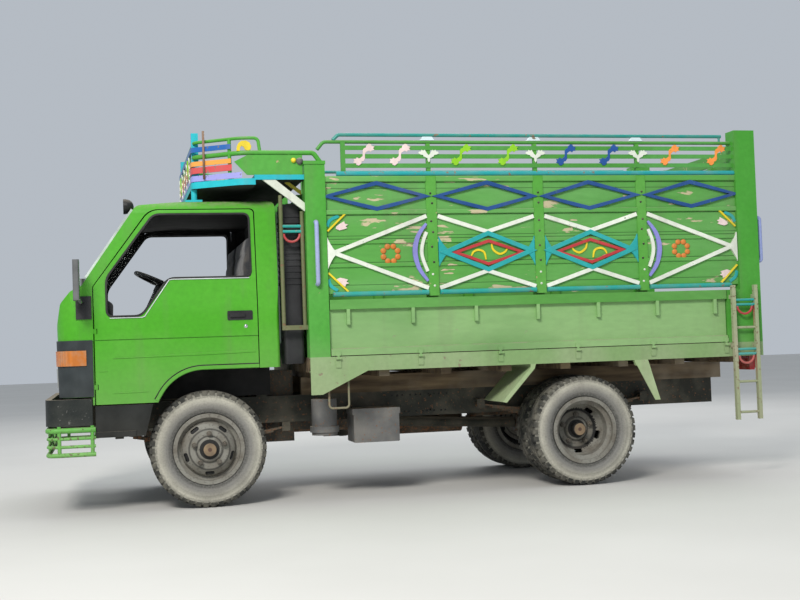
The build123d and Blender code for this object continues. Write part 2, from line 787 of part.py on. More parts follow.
# Door with its window cut, a folded groove and a raised line under the belt
door = side_skin & door_prism(door_gap, -cab_half_width - 20, -cab_half_width / 2)
door -= across([
    (window_front, window_sill, 30), (window_front, window_shoulder_height, 30),
    (window_shoulder_x, window_top, 60), (window_rear, window_top, 30), (window_rear, window_belt, 12),
    (window_kick_high_x, window_belt, 40), (window_kick_low_x, window_sill, 40)],
    -cab_half_width - 20, -cab_half_width / 2)
groove_height = 1092
groove_depth = 5
door -= block(door_front, door_rear, -cab_half_width - 5, -cab_half_width + groove_depth, groove_height - 3,
              groove_height + 3)
door_hinge_x = door_front + door_gap + door_hinge_back
door_reach = door_rear - door_sweep_gap - door_hinge_x
door_hinge_y = -cab_half_width + door_hinge_inset
door_middle = (cab_bottom + roof_height) / 2
door &= Pos(door_hinge_x, door_hinge_y, door_middle) * Cylinder(door_reach, roof_height - cab_bottom + 60)
front_edge = block(door_front, door_hinge_x, -cab_half_width - 10, door_hinge_y, cab_bottom - 10, door_top)
door -= front_edge - Pos(door_hinge_x, door_hinge_y, door_middle) * Cylinder(
    door_hinge_back, roof_height - cab_bottom + 60)
for z in door_hinge_heights:
    notch_half = door_barrel_half + 1
    door -= block(door_front, door_hinge_x + door_barrel_radius + 2, -cab_half_width - 10,
                  -cab_half_width + cab_wall + 10,
                  z - notch_half, z + notch_half)
    pin_end = notch_half + door_pin_reach
    door -= rod((door_hinge_x, door_hinge_y, z - pin_end - 1), (door_hinge_x, door_hinge_y, z + pin_end + 1),
                door_pin_radius + running_clearance)
    barrel = rod((door_hinge_x, door_hinge_y, z - door_barrel_half),
                 (door_hinge_x, door_hinge_y, z + door_barrel_half),
                 door_barrel_radius)
    barrel += rod((door_hinge_x, door_hinge_y, z - pin_end), (door_hinge_x, door_hinge_y, z + pin_end),
                  door_pin_radius)
    barrel += block(door_front - 2, door_hinge_x, door_hinge_y - 4, door_hinge_y + 4, z - door_barrel_half,
                    z + door_barrel_half)
    cab_shell += barrel
    cab_shell += mirrored(barrel)
pieces["door_left"] = door
pieces["cab_shell"] = cab_shell
handle_front = 135
handle_rear = 297
handle_low = 1196
handle_high = 1256
handle = across([(handle_front, handle_low, 8), (handle_rear, handle_low, 8), (handle_rear, handle_high, 8),
                 (handle_front, handle_high, 8)], -cab_half_width - 4, -cab_half_width + 10)
handle += across([(handle_front + 14, handle_low + 20, 6), (handle_rear - 50, handle_low + 20, 6),
                  (handle_rear - 50, handle_high - 12, 6), (handle_front + 14, handle_high - 12, 6)],
                 -cab_half_width - 18, -cab_half_width)
pieces["door_left"] -= across([(handle_front, handle_low, 8), (handle_rear, handle_low, 8),
                               (handle_rear, handle_high, 8), (handle_front, handle_high, 8)],
                              -cab_half_width - 20, -cab_half_width + 10)
pieces["door_handle_left"] = handle

# Cab inside: dashboard, seats and the steering column
wall_face = cab_front + cab_wall + 14
dash_half = 770
dash = across([(wall_face + 6, 1040), (wall_face + 6, 1180, 20), (-850, 1290, 20), (-795, 1345, 20),
               (-640, 1370, 20),
               (-575, 1320, 30), (-590, 1120, 20), (-660, 1040, 20)], -dash_half, dash_half)
seat_front = -110
seat_rear = 395
seat_floor = arch_height + cab_wall
cushion_low = 1130
cushion_high = 1240
back_top = 1745
seat_table = ((-690, 30), (110, 690))
seats = []
seat_bases = []
for inner_y, outer_y in seat_table:
    seat = across([(seat_front, cushion_low, 20), (seat_front, cushion_high, 40),
                   (seat_rear - 110, cushion_high - 40, 20),
                   (seat_rear - 64, back_top, 26), (seat_rear, back_top, 26), (seat_rear, cushion_low)],
                   inner_y, outer_y)
    seats.append(seat)
    base = block(seat_front + 40, seat_rear - 72, inner_y + 40, outer_y - 40, seat_floor, cushion_low)
    for rail_side in (inner_y + 46, outer_y - 76):
        base += block(seat_front + 20, seat_rear - 40, rail_side, rail_side + 30, cushion_low - 24,
                      cushion_low)
    seat_bases.append(base)
pieces["seats"] = solids_of(seats)
pieces["seat_bases"] = solids_of(seat_bases)
steering_plane = Plane(origin=(steering_x, steering_y, steering_z), x_dir=(0, 1, 0),
                       z_dir=(math.sin(math.radians(steering_tilt)), 0,
                              math.cos(math.radians(steering_tilt))))
column_length = 790
steering_dish = 60
grip = steering_plane * Torus(steering_radius, steering_grip)
boss = steering_plane * (Pos(0, 0, -steering_dish / 2) * Cylinder(42, steering_dish + 20))
wheel = grip + boss
for angle in (20, 160, 270):
    spoke = Rot(0, 0, angle) * (Pos(steering_radius / 2, 0, -10) * Box(steering_radius, 26, 14))
    wheel += steering_plane * spoke
pieces["steering_wheel"] = wheel
shaft_top = -steering_dish - 10 - face_clearance
column = steering_plane * (Pos(0, 0, shaft_top - column_length / 2) * Cylinder(22, column_length))
column += steering_plane * (Pos(0, 0, shaft_top - 110) * Cylinder(38, 220))
pieces["dashboard"] = (dash + column) & cab_form(cab_wall + face_clearance)

# Load body: stringers, bearers, deck and sills
body_middle = body_half_width - sill_depth
deck_parts = block(body_front, body_rear, -body_middle, body_middle, deck_top - deck_thickness, deck_top)
bearer_count = 8
for number in range(bearer_count):
    x = body_front + 40 + number * bearer_pitch
    deck_parts += block(x, x + bearer_wide, -body_middle, body_middle, bearer_bottom,
                        deck_top - deck_thickness)
for side in (-1, 1):
    edges = sorted((side * rail_outer, side * (rail_outer - stringer_wide)))
    deck_parts += block(body_front + 20, body_rear - 40, edges[0], edges[1], rail_top, bearer_bottom)
for start, end in ((body_front, body_front + sill_depth), (body_rear - sill_depth, body_rear)):
    deck_parts += block(start, end, -body_middle, body_middle, sill_bottom, deck_top - deck_thickness)
pieces["cargo_deck"] = deck_parts
gusset_rear = 1027
gusset_low = 696
gusset_wide = 74
gusset_plate = 6
sill = lengthwise([
    (-body_half_width, sill_bottom), (-body_middle, sill_bottom), (-body_middle, sill_bottom + sill_wall),
    (-body_half_width + sill_wall, sill_bottom + sill_wall),
    (-body_half_width + sill_wall, deck_top - sill_wall),
    (-body_middle, deck_top - sill_wall), (-body_middle, deck_top), (-body_half_width, deck_top)],
    body_front, body_rear)
sill += across([(body_front, gusset_low), (body_front + gusset_wide, gusset_low), (gusset_rear, sill_bottom),
                (gusset_rear, sill_bottom + 10), (body_front, sill_bottom + 10)],
               -body_half_width, -body_half_width + gusset_plate)

# Corner columns, headboard, posts and boards
column_body = upright([
    (body_front, -body_half_width), (body_front + column_wide, -body_half_width),
    (body_front + column_wide, -body_half_width + column_depth),
    (body_front, -body_half_width + column_depth)],
    deck_top, column_top)
column_body += block(body_front - cap_overhang, body_front + column_wide + 4, -body_half_width - cap_overhang,
                     -body_half_width + column_depth + 4, column_top, column_top + column_cap)
rear_body = block(body_rear - rear_column_wide, body_rear, -body_half_width, -body_half_width + column_depth,
                  deck_top, rear_post_top)
lower_rear = block(drop_rear + move_gap, body_rear - rear_column_wide + 1, -body_half_width,
                   -body_half_width + column_depth, deck_top, drop_top)
pieces["corner_columns"] = solids_of([both_sides(column_body), both_sides(rear_body + lower_rear)])
head_thickness = 36
headboard_top = column_top - 150
headboard_inset = 30
head_half = body_half_width - column_depth
head = block(body_front + headboard_inset, body_front + headboard_inset + head_thickness, -head_half,
             head_half,
             deck_top, headboard_top)
for y in (-500, 0, 500):
    head += block(body_front, body_front + headboard_inset + 1, y - 35, y + 35, deck_top, headboard_top)

post_inner = -board_face + board_thickness
post_neck_wide = 26
posts = []
for x in post_centres:
    post = block(x - post_wide / 2, x + post_wide / 2, post_inner, post_inner + post_depth, deck_top,
                 panel_top + panel_top_rail)
    post += block(x - post_neck_wide / 2, x + post_neck_wide / 2, post_inner, post_inner + post_depth / 2 + 6,
                  panel_top, post_top)
    strap = block(x - post_wide / 2, x + post_wide / 2, -board_face - strap_thickness, -board_face,
                  panel_bottom - 25,
                  panel_top + panel_top_rail)
    posts.extend([post, strap])
pieces["stake_posts"] = solids_of([both_sides(shape) for shape in posts])

batten_height = 26
batten_proud = 9


def moulding(start, end, proud, low, high):
    """A rounded strip that stands proud of the boards' outer face."""
    return lengthwise([(-board_face + 1, low), (-board_face - proud, low, proud / 2),
                       (-board_face - proud, high, proud / 2), (-board_face + 1, high)], start, end)


board_edges = [panel_bottom] + list(board_joints) + [panel_top]
board_back = block(panel_front, panel_rear, post_inner - 8, post_inner, panel_bottom, panel_top)
boards = board_back
for low, high in zip(board_edges[:-1], board_edges[1:]):
    boards += block(panel_front, panel_rear, -board_face, post_inner, low + board_gap / 2,
                    high - board_gap / 2)
post_spans = [panel_front] + [edge for x in post_centres for edge in
                              (x - post_wide / 2 - face_clearance,
                               x + post_wide / 2 + face_clearance)] + [panel_rear]
for start, end in zip(post_spans[::2], post_spans[1::2]):
    for joint in board_joints[:2]:
        boards += moulding(start, end, batten_proud, joint - batten_height / 2, joint + batten_height / 2)
    boards += moulding(start, end, moulding_proud, board_joints[2], board_joints[2] + moulding_height)
    boards += moulding(start, end, moulding_proud, panel_top, panel_top + panel_top_rail)
    boards += block(start, end, -board_face, post_inner, panel_top - 1, panel_top + panel_top_rail)
pieces["side_boards"] = both_sides(boards)

# Round bars above and below the boards
bars = []
for start, end in zip([side_tube_front] + [x + 40 for x in post_centres],
                      [x - 40 for x in post_centres] + [side_tube_rear]):
    bars.append(rod((start, -board_face - side_tube_radius, lower_tube_height),
                    (end, -board_face - side_tube_radius, lower_tube_height), side_tube_radius))
bars.append(rod((panel_front + 80, -board_face + 2, panel_top + panel_top_rail + side_tube_radius),
                (panel_rear, -board_face + 2, panel_top + panel_top_rail + side_tube_radius),
                side_tube_radius))


# Drop sides and tailgate: one pressed panel form, drawn along u with its outer face at minus Y
leaf_thickness_hinge = 7
leaf_gap = 1
hinge_pin_radius = 5
hinge_wing = 8.3
leaf_reach = 50


def drop_panel(u_from, u_to, face, ribs, hinges):
    """A panel with a top flange, a lower rail, ribs and the moving leaves of its hinges."""
    skin_face = -face + flange_proud
    inner = -face + drop_thickness
    panel = lengthwise([
        (-face, drop_top), (-face, drop_top - flange_height), (skin_face, drop_top - flange_height),
        (skin_face, drop_bottom + lower_rail_height), (-face, drop_bottom + lower_rail_height - 8),
        (-face, drop_bottom), (inner, drop_bottom), (inner, drop_top)], u_from, u_to)
    for u in ribs:
        panel += block(u - rib_wide / 2, u + rib_wide / 2, -face, skin_face,
                       drop_top - flange_height - rib_height,
                       drop_top - flange_height)
    axis_y = -face - hinge_axis_out
    for u in hinges:
        panel += block(u - hinge_wide / 2, u + hinge_wide / 2, -face - leaf_gap - leaf_thickness_hinge, -face,
                       drop_bottom, drop_bottom + leaf_reach / 2)
        panel += block(u - hinge_wing + face_clearance, u + hinge_wing - face_clearance,
                       -face - leaf_gap - leaf_thickness_hinge, -face - leaf_gap, hinge_axis_height,
                       drop_bottom)
        panel += rod((u - hinge_wing + face_clearance, axis_y, hinge_axis_height),
                     (u + hinge_wing - face_clearance, axis_y, hinge_axis_height), hinge_radius)
        panel -= rod((u - hinge_wide, axis_y, hinge_axis_height), (u + hinge_wide, axis_y, hinge_axis_height),
                     hinge_pin_radius + running_clearance)
    return panel


def fixed_leaves(face, hinges):
    """The sill's hinge leaves with their pins."""
    axis_y = -face - hinge_axis_out
    leaves = []
    for u in hinges:
        leaf = block(u - hinge_wide / 2, u + hinge_wide / 2, -face - leaf_thickness_hinge, -face,
                     hinge_axis_height - hinge_radius - leaf_reach, hinge_axis_height - hinge_radius - 2)
        for side in (-1, 1):
            edges = sorted((u + side * hinge_wing, u + side * hinge_wide / 2))
            leaf += block(edges[0], edges[1], -face - leaf_thickness_hinge, -face,
                          hinge_axis_height - hinge_radius - 3, hinge_axis_height)
            leaf += rod((edges[0], axis_y, hinge_axis_height), (edges[1], axis_y, hinge_axis_height),
                        hinge_radius)
        leaf += rod((u - hinge_wide / 2, axis_y, hinge_axis_height),
                    (u + hinge_wide / 2, axis_y, hinge_axis_height),
                    hinge_pin_radius)
        leaves.append(leaf)
    return leaves


side_ribs = [rib_first + number * rib_pitch for number in range(rib_count)]
side_hinges = [hinge_first + number * hinge_pitch for number in range(hinge_count)]
tail_half = body_half_width - column_depth - move_gap
floor_edge = 10
floor_proud = 4
floor_half = body_half_width - column_depth - floor_edge
pieces["cargo_deck"] += block(body_front + headboard_inset + head_thickness + floor_edge,
                              body_rear - drop_thickness - floor_edge, -floor_half, floor_half,
                              deck_top - 1, deck_top + floor_proud)
tail_ribs = (-640, -320, 0, 320, 640)
tail_hinges = (-600, 0, 600)
to_rear = Rot(0, 0, 90)
pieces["drop_side_left"] = drop_panel(drop_front, drop_rear, body_half_width, side_ribs, side_hinges)
pieces["tailgate"] = to_rear * drop_panel(-tail_half, tail_half, body_rear, tail_ribs, tail_hinges)
for leaf in fixed_leaves(body_half_width, side_hinges):
    sill += leaf
for leaf in fixed_leaves(body_rear, tail_hinges):
    pieces["cargo_deck"] += to_rear * leaf
pieces["side_sills"] = both_sides(sill)

# Racks above the boards: flat slats on the posts, a green rail and the top bar on wedge blocks
rack_y = post_inner + post_depth / 2
rack = block(rack_front, rack_front + 30, post_inner - rack_slat_thickness, post_inner + 14,
             panel_top + panel_top_rail, rack_rail_height - 6)
for height in rack_slats:
    rack += block(rack_front, panel_rear, post_inner - rack_slat_thickness, post_inner,
                  height - rack_slat_height / 2, height + rack_slat_height / 2)
rack_bars = bent_tube([(rack_front - 152, rack_y, rack_rail_height - 51),
                       (rack_front - 110, rack_y, rack_rail_height),
                       (panel_rear, rack_y, rack_rail_height)], 40, rack_tube_radius)
rack_top = bent_tube([(rack_top_front + 4, rack_y, rack_rail_height + rack_tube_radius),
                      (rack_top_front + 40, rack_y, rack_top_height),
                      (rack_top_rear, rack_y, rack_top_height)],
                     30, rack_tube_radius)
cap_half_low = 48
cap_half_high = 32
caps = [across([(x - cap_half_low, rack_rail_height + rack_tube_radius - 1),
                (x - cap_half_high, rack_top_height - rack_tube_radius + 1),
                (x + cap_half_high, rack_top_height - rack_tube_radius + 1),
                (x + cap_half_low, rack_rail_height + rack_tube_radius - 1)],
               rack_y - 12, rack_y + 12) for x in post_centres]
for cap in caps:
    rack_top += cap
rack_top += rod((rack_top_rear - 14, rack_y, rack_rail_height + 4),
                (rack_top_rear - 14, rack_y, rack_top_height), 8)
pieces["racks"] = both_sides(rack + rack_bars)
pieces["painted_bars"] = solids_of([both_sides(bar) for bar in bars + [rack_top - rack_bars]])
header_x = body_rear - 60
header = None
header_low = rear_post_top - 277
header_plank = 86
header_high = header_low + 2 * header_plank + 10
for low in (header_low, header_high - header_plank):
    plank = block(header_x, header_x + 24, -head_half, head_half, low, low + header_plank)
    header = plank if header is None else header + plank
for y in (-400, 400):
    header += block(header_x - 20, header_x, y - 30, y + 30, header_low, header_high)
pieces["end_boards"] = solids_of([head, header])

# Carrier over the cab: floor with a bowed nose, coloured slats round it, rails and legs
def carrier_plan(inset):
    """The carrier's plan outline, set in."""
    side = carrier_half_width - inset
    nose = carrier_nose_half - inset
    return [(body_front, -side), (carrier_bend_x, -side, 200), (carrier_front + inset, -nose, 60),
            (carrier_front + inset, nose, 60), (carrier_bend_x, side, 200), (body_front, side)]


front_cut = block(carrier_front - 10, carrier_step_x + 6, -carrier_half_width - 10, carrier_half_width + 10,
                  carrier_floor - 10, carrier_post_top)
floor = upright(carrier_plan(0), carrier_floor, carrier_floor + carrier_floor_thickness) & front_cut
floor += block(carrier_step_x, body_front, -carrier_half_width, carrier_half_width, carrier_floor_rear,
               carrier_floor_rear + carrier_rear_thickness)
pieces["carrier_floor"] = floor
slats = []
for low, height, rear in carrier_slats:
    high = low + height
    band = upright(carrier_plan(0), low, high) - upright(carrier_plan(carrier_slat_thickness), low - 1,
                                                         high + 1)
    slats.append(band & block(carrier_front - 10, rear, -carrier_half_width - 10, carrier_half_width + 10,
                              low - 2, high + 2))
pieces["carrier_slats"] = solids_of(slats)


def carrier_rail(height, radius, rear, inset):
    """A round rail that follows the carrier's plan."""
    side = carrier_half_width - inset
    nose = carrier_nose_half - inset
    path = Pos(0, 0, height) * FilletPolyline(
        (rear, -side), (carrier_bend_x, -side), (carrier_front + inset, -nose), (carrier_front + inset, nose),
        (carrier_bend_x, side), (rear, side), radius=[200, 60, 60, 200])
    return sweep(Plane(origin=path @ 0, z_dir=path % 0) * Circle(radius), path=path)


rail_inset = carrier_slat_thickness + carrier_rail_radius + face_clearance
frame = carrier_rail(carrier_rail_height, carrier_rail_radius, body_front, rail_inset)
frame += carrier_rail(carrier_top_height, carrier_top_radius, carrier_top_rear + 6, rail_inset)
rail_y = carrier_half_width - rail_inset
bend_slope = (carrier_half_width - carrier_nose_half) / (carrier_bend_x - carrier_front)
bend_set_in = (carrier_slat_thickness + face_clearance + 12) * math.hypot(1, bend_slope)
bend_upright_y = carrier_half_width - (carrier_bend_x - 180) * bend_slope - bend_set_in
top_of_floor = carrier_floor + carrier_floor_thickness
for side in (-1, 1):
    frame += bent_tube([(carrier_top_rear, side * rail_y, carrier_top_height),
                        (carrier_top_rear + 40, side * rail_y, carrier_top_height),
                        (carrier_top_rear + 52, side * rail_y, carrier_rail_height)], 30, carrier_top_radius)
    frame += rod((180, side * bend_upright_y, top_of_floor), (180, side * bend_upright_y, carrier_top_height),
                 12)
    frame += rod((560, side * rail_y, carrier_floor_rear + carrier_rear_thickness),
                 (560, side * rail_y, carrier_rail_height), 10)
for y in (-460, -160, 160, 460):
    frame += rod((carrier_front + rail_inset, y, top_of_floor),
                 (carrier_front + rail_inset, y, carrier_top_height), 11)
board_end = body_front - cap_overhang
side_board = across([(203, carrier_side_high - 43), (288, carrier_side_high), (board_end, carrier_side_high),
                     (board_end, carrier_floor_rear + carrier_rear_thickness),
                     (284, carrier_floor_rear + carrier_rear_thickness)],
                    -rail_y - carrier_rail_radius, -rail_y - carrier_rail_radius + 8)
frame += side_board + mirrored(side_board)
post_y = carrier_nose_half - 44
post_front = carrier_front + carrier_slat_thickness + face_clearance
nose_post = block(post_front, post_front + carrier_post_wide, -post_y, -post_y + carrier_post_wide,
                  top_of_floor,
                  carrier_post_top)
frame += nose_post + mirrored(nose_post)
for side in (-1, 1):
    frame += bent_tube([(body_front - 1, side * rail_y, carrier_rail_height),
                        (body_front + 70, side * rail_y, carrier_rail_height),
                        (body_front + 126, side * rail_y, column_top + column_cap - 20)], 36,
                        carrier_rail_radius)
frame -= block(body_front, body_front + 200, -body_half_width, body_half_width, column_top - 40,
               column_top + column_cap)
pieces["carrier_frame"] = frame
leg = rod((carrier_leg_x, -carrier_leg_half, roof_height + 12),
          (carrier_leg_x, -carrier_leg_half, carrier_floor), 20)
leg += block(carrier_leg_x - 60, carrier_leg_x + 50, -carrier_leg_half - 30, -carrier_leg_half + 30,
             roof_height, roof_height + 16)
brace_front = 381
brace_drop = 206
brace = across([(brace_front, carrier_floor_rear), (brace_front + 84, carrier_floor_rear),
                (body_front, carrier_floor_rear - brace_drop + 55),
                (body_front, carrier_floor_rear - brace_drop)],
               -carrier_half_width + 4, -carrier_half_width + 26)
brace_small = across([(543, carrier_floor_rear), (575, carrier_floor_rear),
                      (body_front, carrier_floor_rear - 54),
                      (body_front, carrier_floor_rear - 82)],
                     -carrier_half_width + 140, -carrier_half_width + 160)
pieces["carrier_legs"] = solids_of([both_sides(leg), both_sides(brace), both_sides(brace_small)])

# Front end: grille, lamps, indicators, bumper and its guard
trim_low = 790
corner_low = 742
lamp_low = 804
lamp_reach = 190
trim_high = 1096
trim_rear = door_front - 5
trim_half = 560
trim_thickness = 8
lamp_high = 922
indicator_low = 937
indicator_high = 1032
indicator_rear = -748
indicator_inner = 640
grille_slots = 5
trim_form = cab_form(-trim_thickness)
lamp_lift = 7
lamp_form = Pos(-lamp_lift, -lamp_lift, 0) * trim_form
nose_zone = block(cab_front - 30, trim_rear, -cab_half_width - 30, -trim_half, corner_low, trim_high)
lamp_zone = block(cab_front - 30, cab_front + 60, -trim_half - lamp_reach, -trim_half - 30, lamp_low,
                  lamp_high)
indicator_zone = block(cab_front - 30, indicator_rear, -cab_half_width - 30, -indicator_inner, indicator_low,
                       indicator_high)
gap_zone = block(cab_front - 30, cab_front + 60, -trim_half - lamp_reach - face_clearance,
                 -trim_half - 30 + face_clearance, lamp_low - face_clearance, lamp_high + face_clearance)
gap_zone += block(cab_front - 30, indicator_rear + face_clearance, -cab_half_width - 30,
                  -indicator_inner + face_clearance,
                  indicator_low - face_clearance, indicator_high + face_clearance)
surround = (trim_form & (nose_zone - gap_zone)) - cab_outer
pieces["head_lamps"] = both_sides((lamp_form & lamp_zone) - cab_outer)
pieces["indicators"] = both_sides((lamp_form & indicator_zone) - cab_outer)
grille = (trim_form & block(cab_front - 30, cab_front + 60, -trim_half + face_clearance,
                            trim_half - face_clearance,
                            trim_low, trim_high)) - cab_outer
slot_pitch = (trim_high - trim_low) / (grille_slots + 1)
for number in range(grille_slots):
    z = trim_low + slot_pitch * (number + 1)
    grille -= block(cab_front - 40, cab_front + 70, -trim_half + 60, trim_half - 60, z - 14, z + 10)
pieces["grille"] = solids_of([grille, both_sides(surround)])


def bumper_plan(inset):
    """The bumper's plan outline, open at the rear."""
    side = bumper_half_width - inset
    front = bumper_front + inset
    corner = bumper_corner - inset
    return [(bumper_rear + inset, -side), (front, -side, corner), (front, side, corner),
            (bumper_rear + inset, side)]


bumper_taper = 22
bumper = upright(bumper_plan(0), bumper_bottom, bumper_top)
bumper -= upright(bumper_plan(bumper_wall), bumper_bottom - 1, bumper_top + 1)
bumper -= block(bumper_rear - 1, bumper_rear + 60, -bumper_half_width + bumper_wall,
                bumper_half_width - bumper_wall,
                bumper_bottom - 1, bumper_top + 1)
bumper -= block(bumper_rear - bumper_wall - 2, bumper_rear + 1, -bumper_half_width + bumper_wall,
                bumper_half_width - bumper_wall, bumper_bottom - 1, bumper_top + 1)
for side in (-1, 1):
    edges = sorted((side * rail_outer, side * (rail_outer - rail_flange)))
    bumper += block(bumper_front + bumper_wall - 1, chassis_front, edges[0], edges[1], rail_bottom + 70,
                    rail_top - 10)
pieces["bumper"] = bumper
guard = None
for height, radius in guard_bars:
    path = Pos(0, 0, height) * FilletPolyline(
        (guard_rear, -guard_half_width), (guard_front, -guard_half_width), (guard_front, guard_half_width),
        (guard_rear, guard_half_width), radius=[guard_corner, guard_corner])
    bar = sweep(Plane(origin=path @ 0, z_dir=path % 0) * Circle(radius), path=path)
    guard = bar if guard is None else guard + bar
guard_low = guard_bars[-1][0]
guard_high = guard_bars[0][0]
for x in (guard_rear - 20, guard_front + guard_corner + 9):
    for side in (-1, 1):
        guard += rod((x, side * guard_half_width, guard_low - 3), (x, side * guard_half_width, bumper_bottom),
                     12)
for y in (-600, -200, 200, 600):
    guard += rod((guard_front, y, guard_low - 3), (guard_front, y, guard_high + 3), 9)
for side in (-1, 1):
    edges = sorted((side * (rail_outer - 8), side * (rail_outer - rail_flange + 8)))
    guard += block(guard_front, guard_front + 60, edges[0], edges[1], guard_high - 8, bumper_bottom)
pieces["bumper_guard"] = guard

# Black panels and steps below the doors
step_low = 484
step_rear_low = -397
step_rear_high = -346
step_skin = 26
step_depth = 190
step_ledge = 36
step_top = cab_bottom - 8
panel = across([(door_front + 2, step_low), (step_rear_low, step_low), (step_rear_high, step_top),
                (door_front + 2, step_top)], -cab_half_width + 4, -cab_half_width + 4 + step_skin)
panel += block(door_front + 2, step_rear_low - 60, -cab_half_width - 6, -cab_half_width + step_depth,
               step_low,
               step_low + step_ledge)
panel += block(door_front + 2, door_front + 28, -cab_half_width + 4, -cab_half_width + step_depth, step_low,
               step_top)
panel += block(door_front + 2, door_front + 62, -cab_half_width + step_depth - 1, -rail_outer, step_low,
               step_low + step_ledge)
pieces["cab_steps"] = both_sides(panel)

# Mirrors on black corner plates, and the round lamp on the roof's front edge
mirror_x = -794
mirror_low = 1340
mirror_high = 1588
mirror_thickness = 40
mirror_wide = 165
mirror_inner = 905
plate_skin = (trim_form & block(-806, -710, -cab_half_width - 30, -cab_half_width + 60, 1227,
                                1372)) - cab_outer
mirror_head = upright([(mirror_x - mirror_thickness / 2, -mirror_inner - mirror_wide, 14),
                       (mirror_x + mirror_thickness / 2, -mirror_inner - mirror_wide, 14),
                       (mirror_x + mirror_thickness / 2, -mirror_inner, 14),
                       (mirror_x - mirror_thickness / 2, -mirror_inner, 14)], mirror_low, mirror_high)
arm_radius = 9
mirror_arm = bent_tube([(mirror_x + 30, -cab_half_width + 4, 1330), (mirror_x + 20, -mirror_inner - 30, 1330),
                        (mirror_x, -mirror_inner - 40, 1400)], 16, arm_radius)
pieces["mirrors"] = both_sides(plate_skin + mirror_head + mirror_arm)
lamp_y = 640
lamp_radius = 47
lamp_rim = 12
lamp_stand = lamp_radius + 4
lamp_foot_back = 30
screen_rise = roof_front_height - screen_foot_height
screen_run = roof_front_x - screen_foot_x
screen_length = math.hypot(screen_rise, screen_run)
foot_x = roof_front_x - lamp_foot_back * screen_run / screen_length
foot_z = roof_front_height - lamp_foot_back * screen_rise / screen_length
lamp_x = foot_x - lamp_stand * screen_rise / screen_length
lamp_z = foot_z + lamp_stand * screen_run / screen_length
roof_lamp = Pos(lamp_x, -lamp_y, lamp_z) * Sphere(lamp_radius)
roof_lamp -= block(lamp_x - lamp_radius - 1, lamp_x - lamp_rim, -lamp_y - lamp_radius, -lamp_y + lamp_radius,
                   lamp_z - lamp_radius, lamp_z + lamp_radius)
roof_lamp += rod((lamp_x - lamp_rim - 8, -lamp_y, lamp_z), (lamp_x - 2, -lamp_y, lamp_z), lamp_radius + 2)
roof_lamp -= rod((lamp_x - lamp_rim - 9, -lamp_y, lamp_z), (lamp_x - lamp_rim, -lamp_y, lamp_z),
                 lamp_radius - 4)
roof_lamp += rod((foot_x, -lamp_y, foot_z), (lamp_x, -lamp_y, lamp_z), 10)
pieces["roof_lamp"] = roof_lamp

# Behind the cab: air intake, two uprights and the painted bar between them
intake_front = body_front - 145
intake_rear = body_front - 15
intake_face = 800
intake_low = 900
intake_high = 1945
intake = upright([(intake_front, -intake_face, 20), (intake_rear, -intake_face, 20),
                  (intake_rear, -intake_face + 180, 20), (intake_front, -intake_face + 180, 20)],
                 intake_low, intake_high)
intake_ribs = 12
for number in range(intake_ribs):
    z = 1420 + number * 40
    intake += upright([(intake_front - 6, -intake_face - 6, 24), (intake_rear + 6, -intake_face - 6, 24),
                       (intake_rear + 6, -intake_face + 186, 24), (intake_front - 6, -intake_face + 186, 24)],
                       z, z + 20)
intake += block(intake_rear - 1, body_front + headboard_inset, -intake_face + 40, -intake_face + 120, 1150,
                1230)
intake += block(intake_front + 20, intake_rear - 20, -intake_face + 60, -rail_outer + 20, intake_low + 40,
                intake_low + 140)
pieces["air_intake"] = intake
upright_y = 862
upright_front = body_front - 154
upright_rear = body_front - 16
upright_low = 1120
upright_bars = 1777
brace_slope = brace_drop / (body_front - brace_front)
upright_top = carrier_floor_rear - brace_slope * (upright_front + 13 - brace_front)
uprights = rod((upright_front, -upright_y, upright_low), (upright_front, -upright_y, upright_top), 13)
uprights += block(upright_front - 12, body_front, -upright_y - 12, -upright_y + 12, upright_low,
                  upright_low + 30)
rear_upright_top = carrier_floor_rear - brace_slope * (upright_rear + 13 - brace_front)
uprights += rod((upright_rear, -upright_y, upright_low), (upright_rear, -upright_y, rear_upright_top), 13)
for z in (upright_bars - 17, upright_bars + 17):
    uprights += rod((upright_front, -upright_y, z), (upright_rear, -upright_y, z), 10)
ring = Pos((upright_front + upright_rear) / 2, -upright_y, upright_bars - 32) * Rot(90, 0, 0) * Torus(52, 8)
ring &= block(upright_front, upright_rear, -upright_y - 20, -upright_y + 20, upright_bars - 120,
              upright_bars - 32)
uprights += ring
pieces["rear_cab_uprights"] = uprights

# Ladder at the left rear corner
rung_radius = 9
ladder = None
ladder_back = -ladder_face + ladder_rail_depth
for x in (ladder_front, ladder_rear - ladder_rail_wide):
    rail = block(x, x + ladder_rail_wide, -ladder_face, ladder_back, ladder_bottom, ladder_top)
    for z in (1240, 900):
        rail += block(x, x + ladder_rail_wide, ladder_back - 1, -body_half_width, z, z + 30)
    ladder = rail if ladder is None else ladder + rail
rung_y = -ladder_face + ladder_rail_depth / 2
for z in (453, 664, 857, 889, 1040, 1200, 1232):
    ladder += rod((ladder_front + 4, rung_y, z), (ladder_rear - 4, rung_y, z), rung_radius)
for z in (848, 1191):
    half_ring = Pos((ladder_front + ladder_rear) / 2, rung_y, z) * Rot(90, 0, 0) * Torus(56, 8)
    ladder += half_ring & block(ladder_front, ladder_rear, rung_y - 20, rung_y + 20, z - 80, z)
pieces["ladder"] = ladder

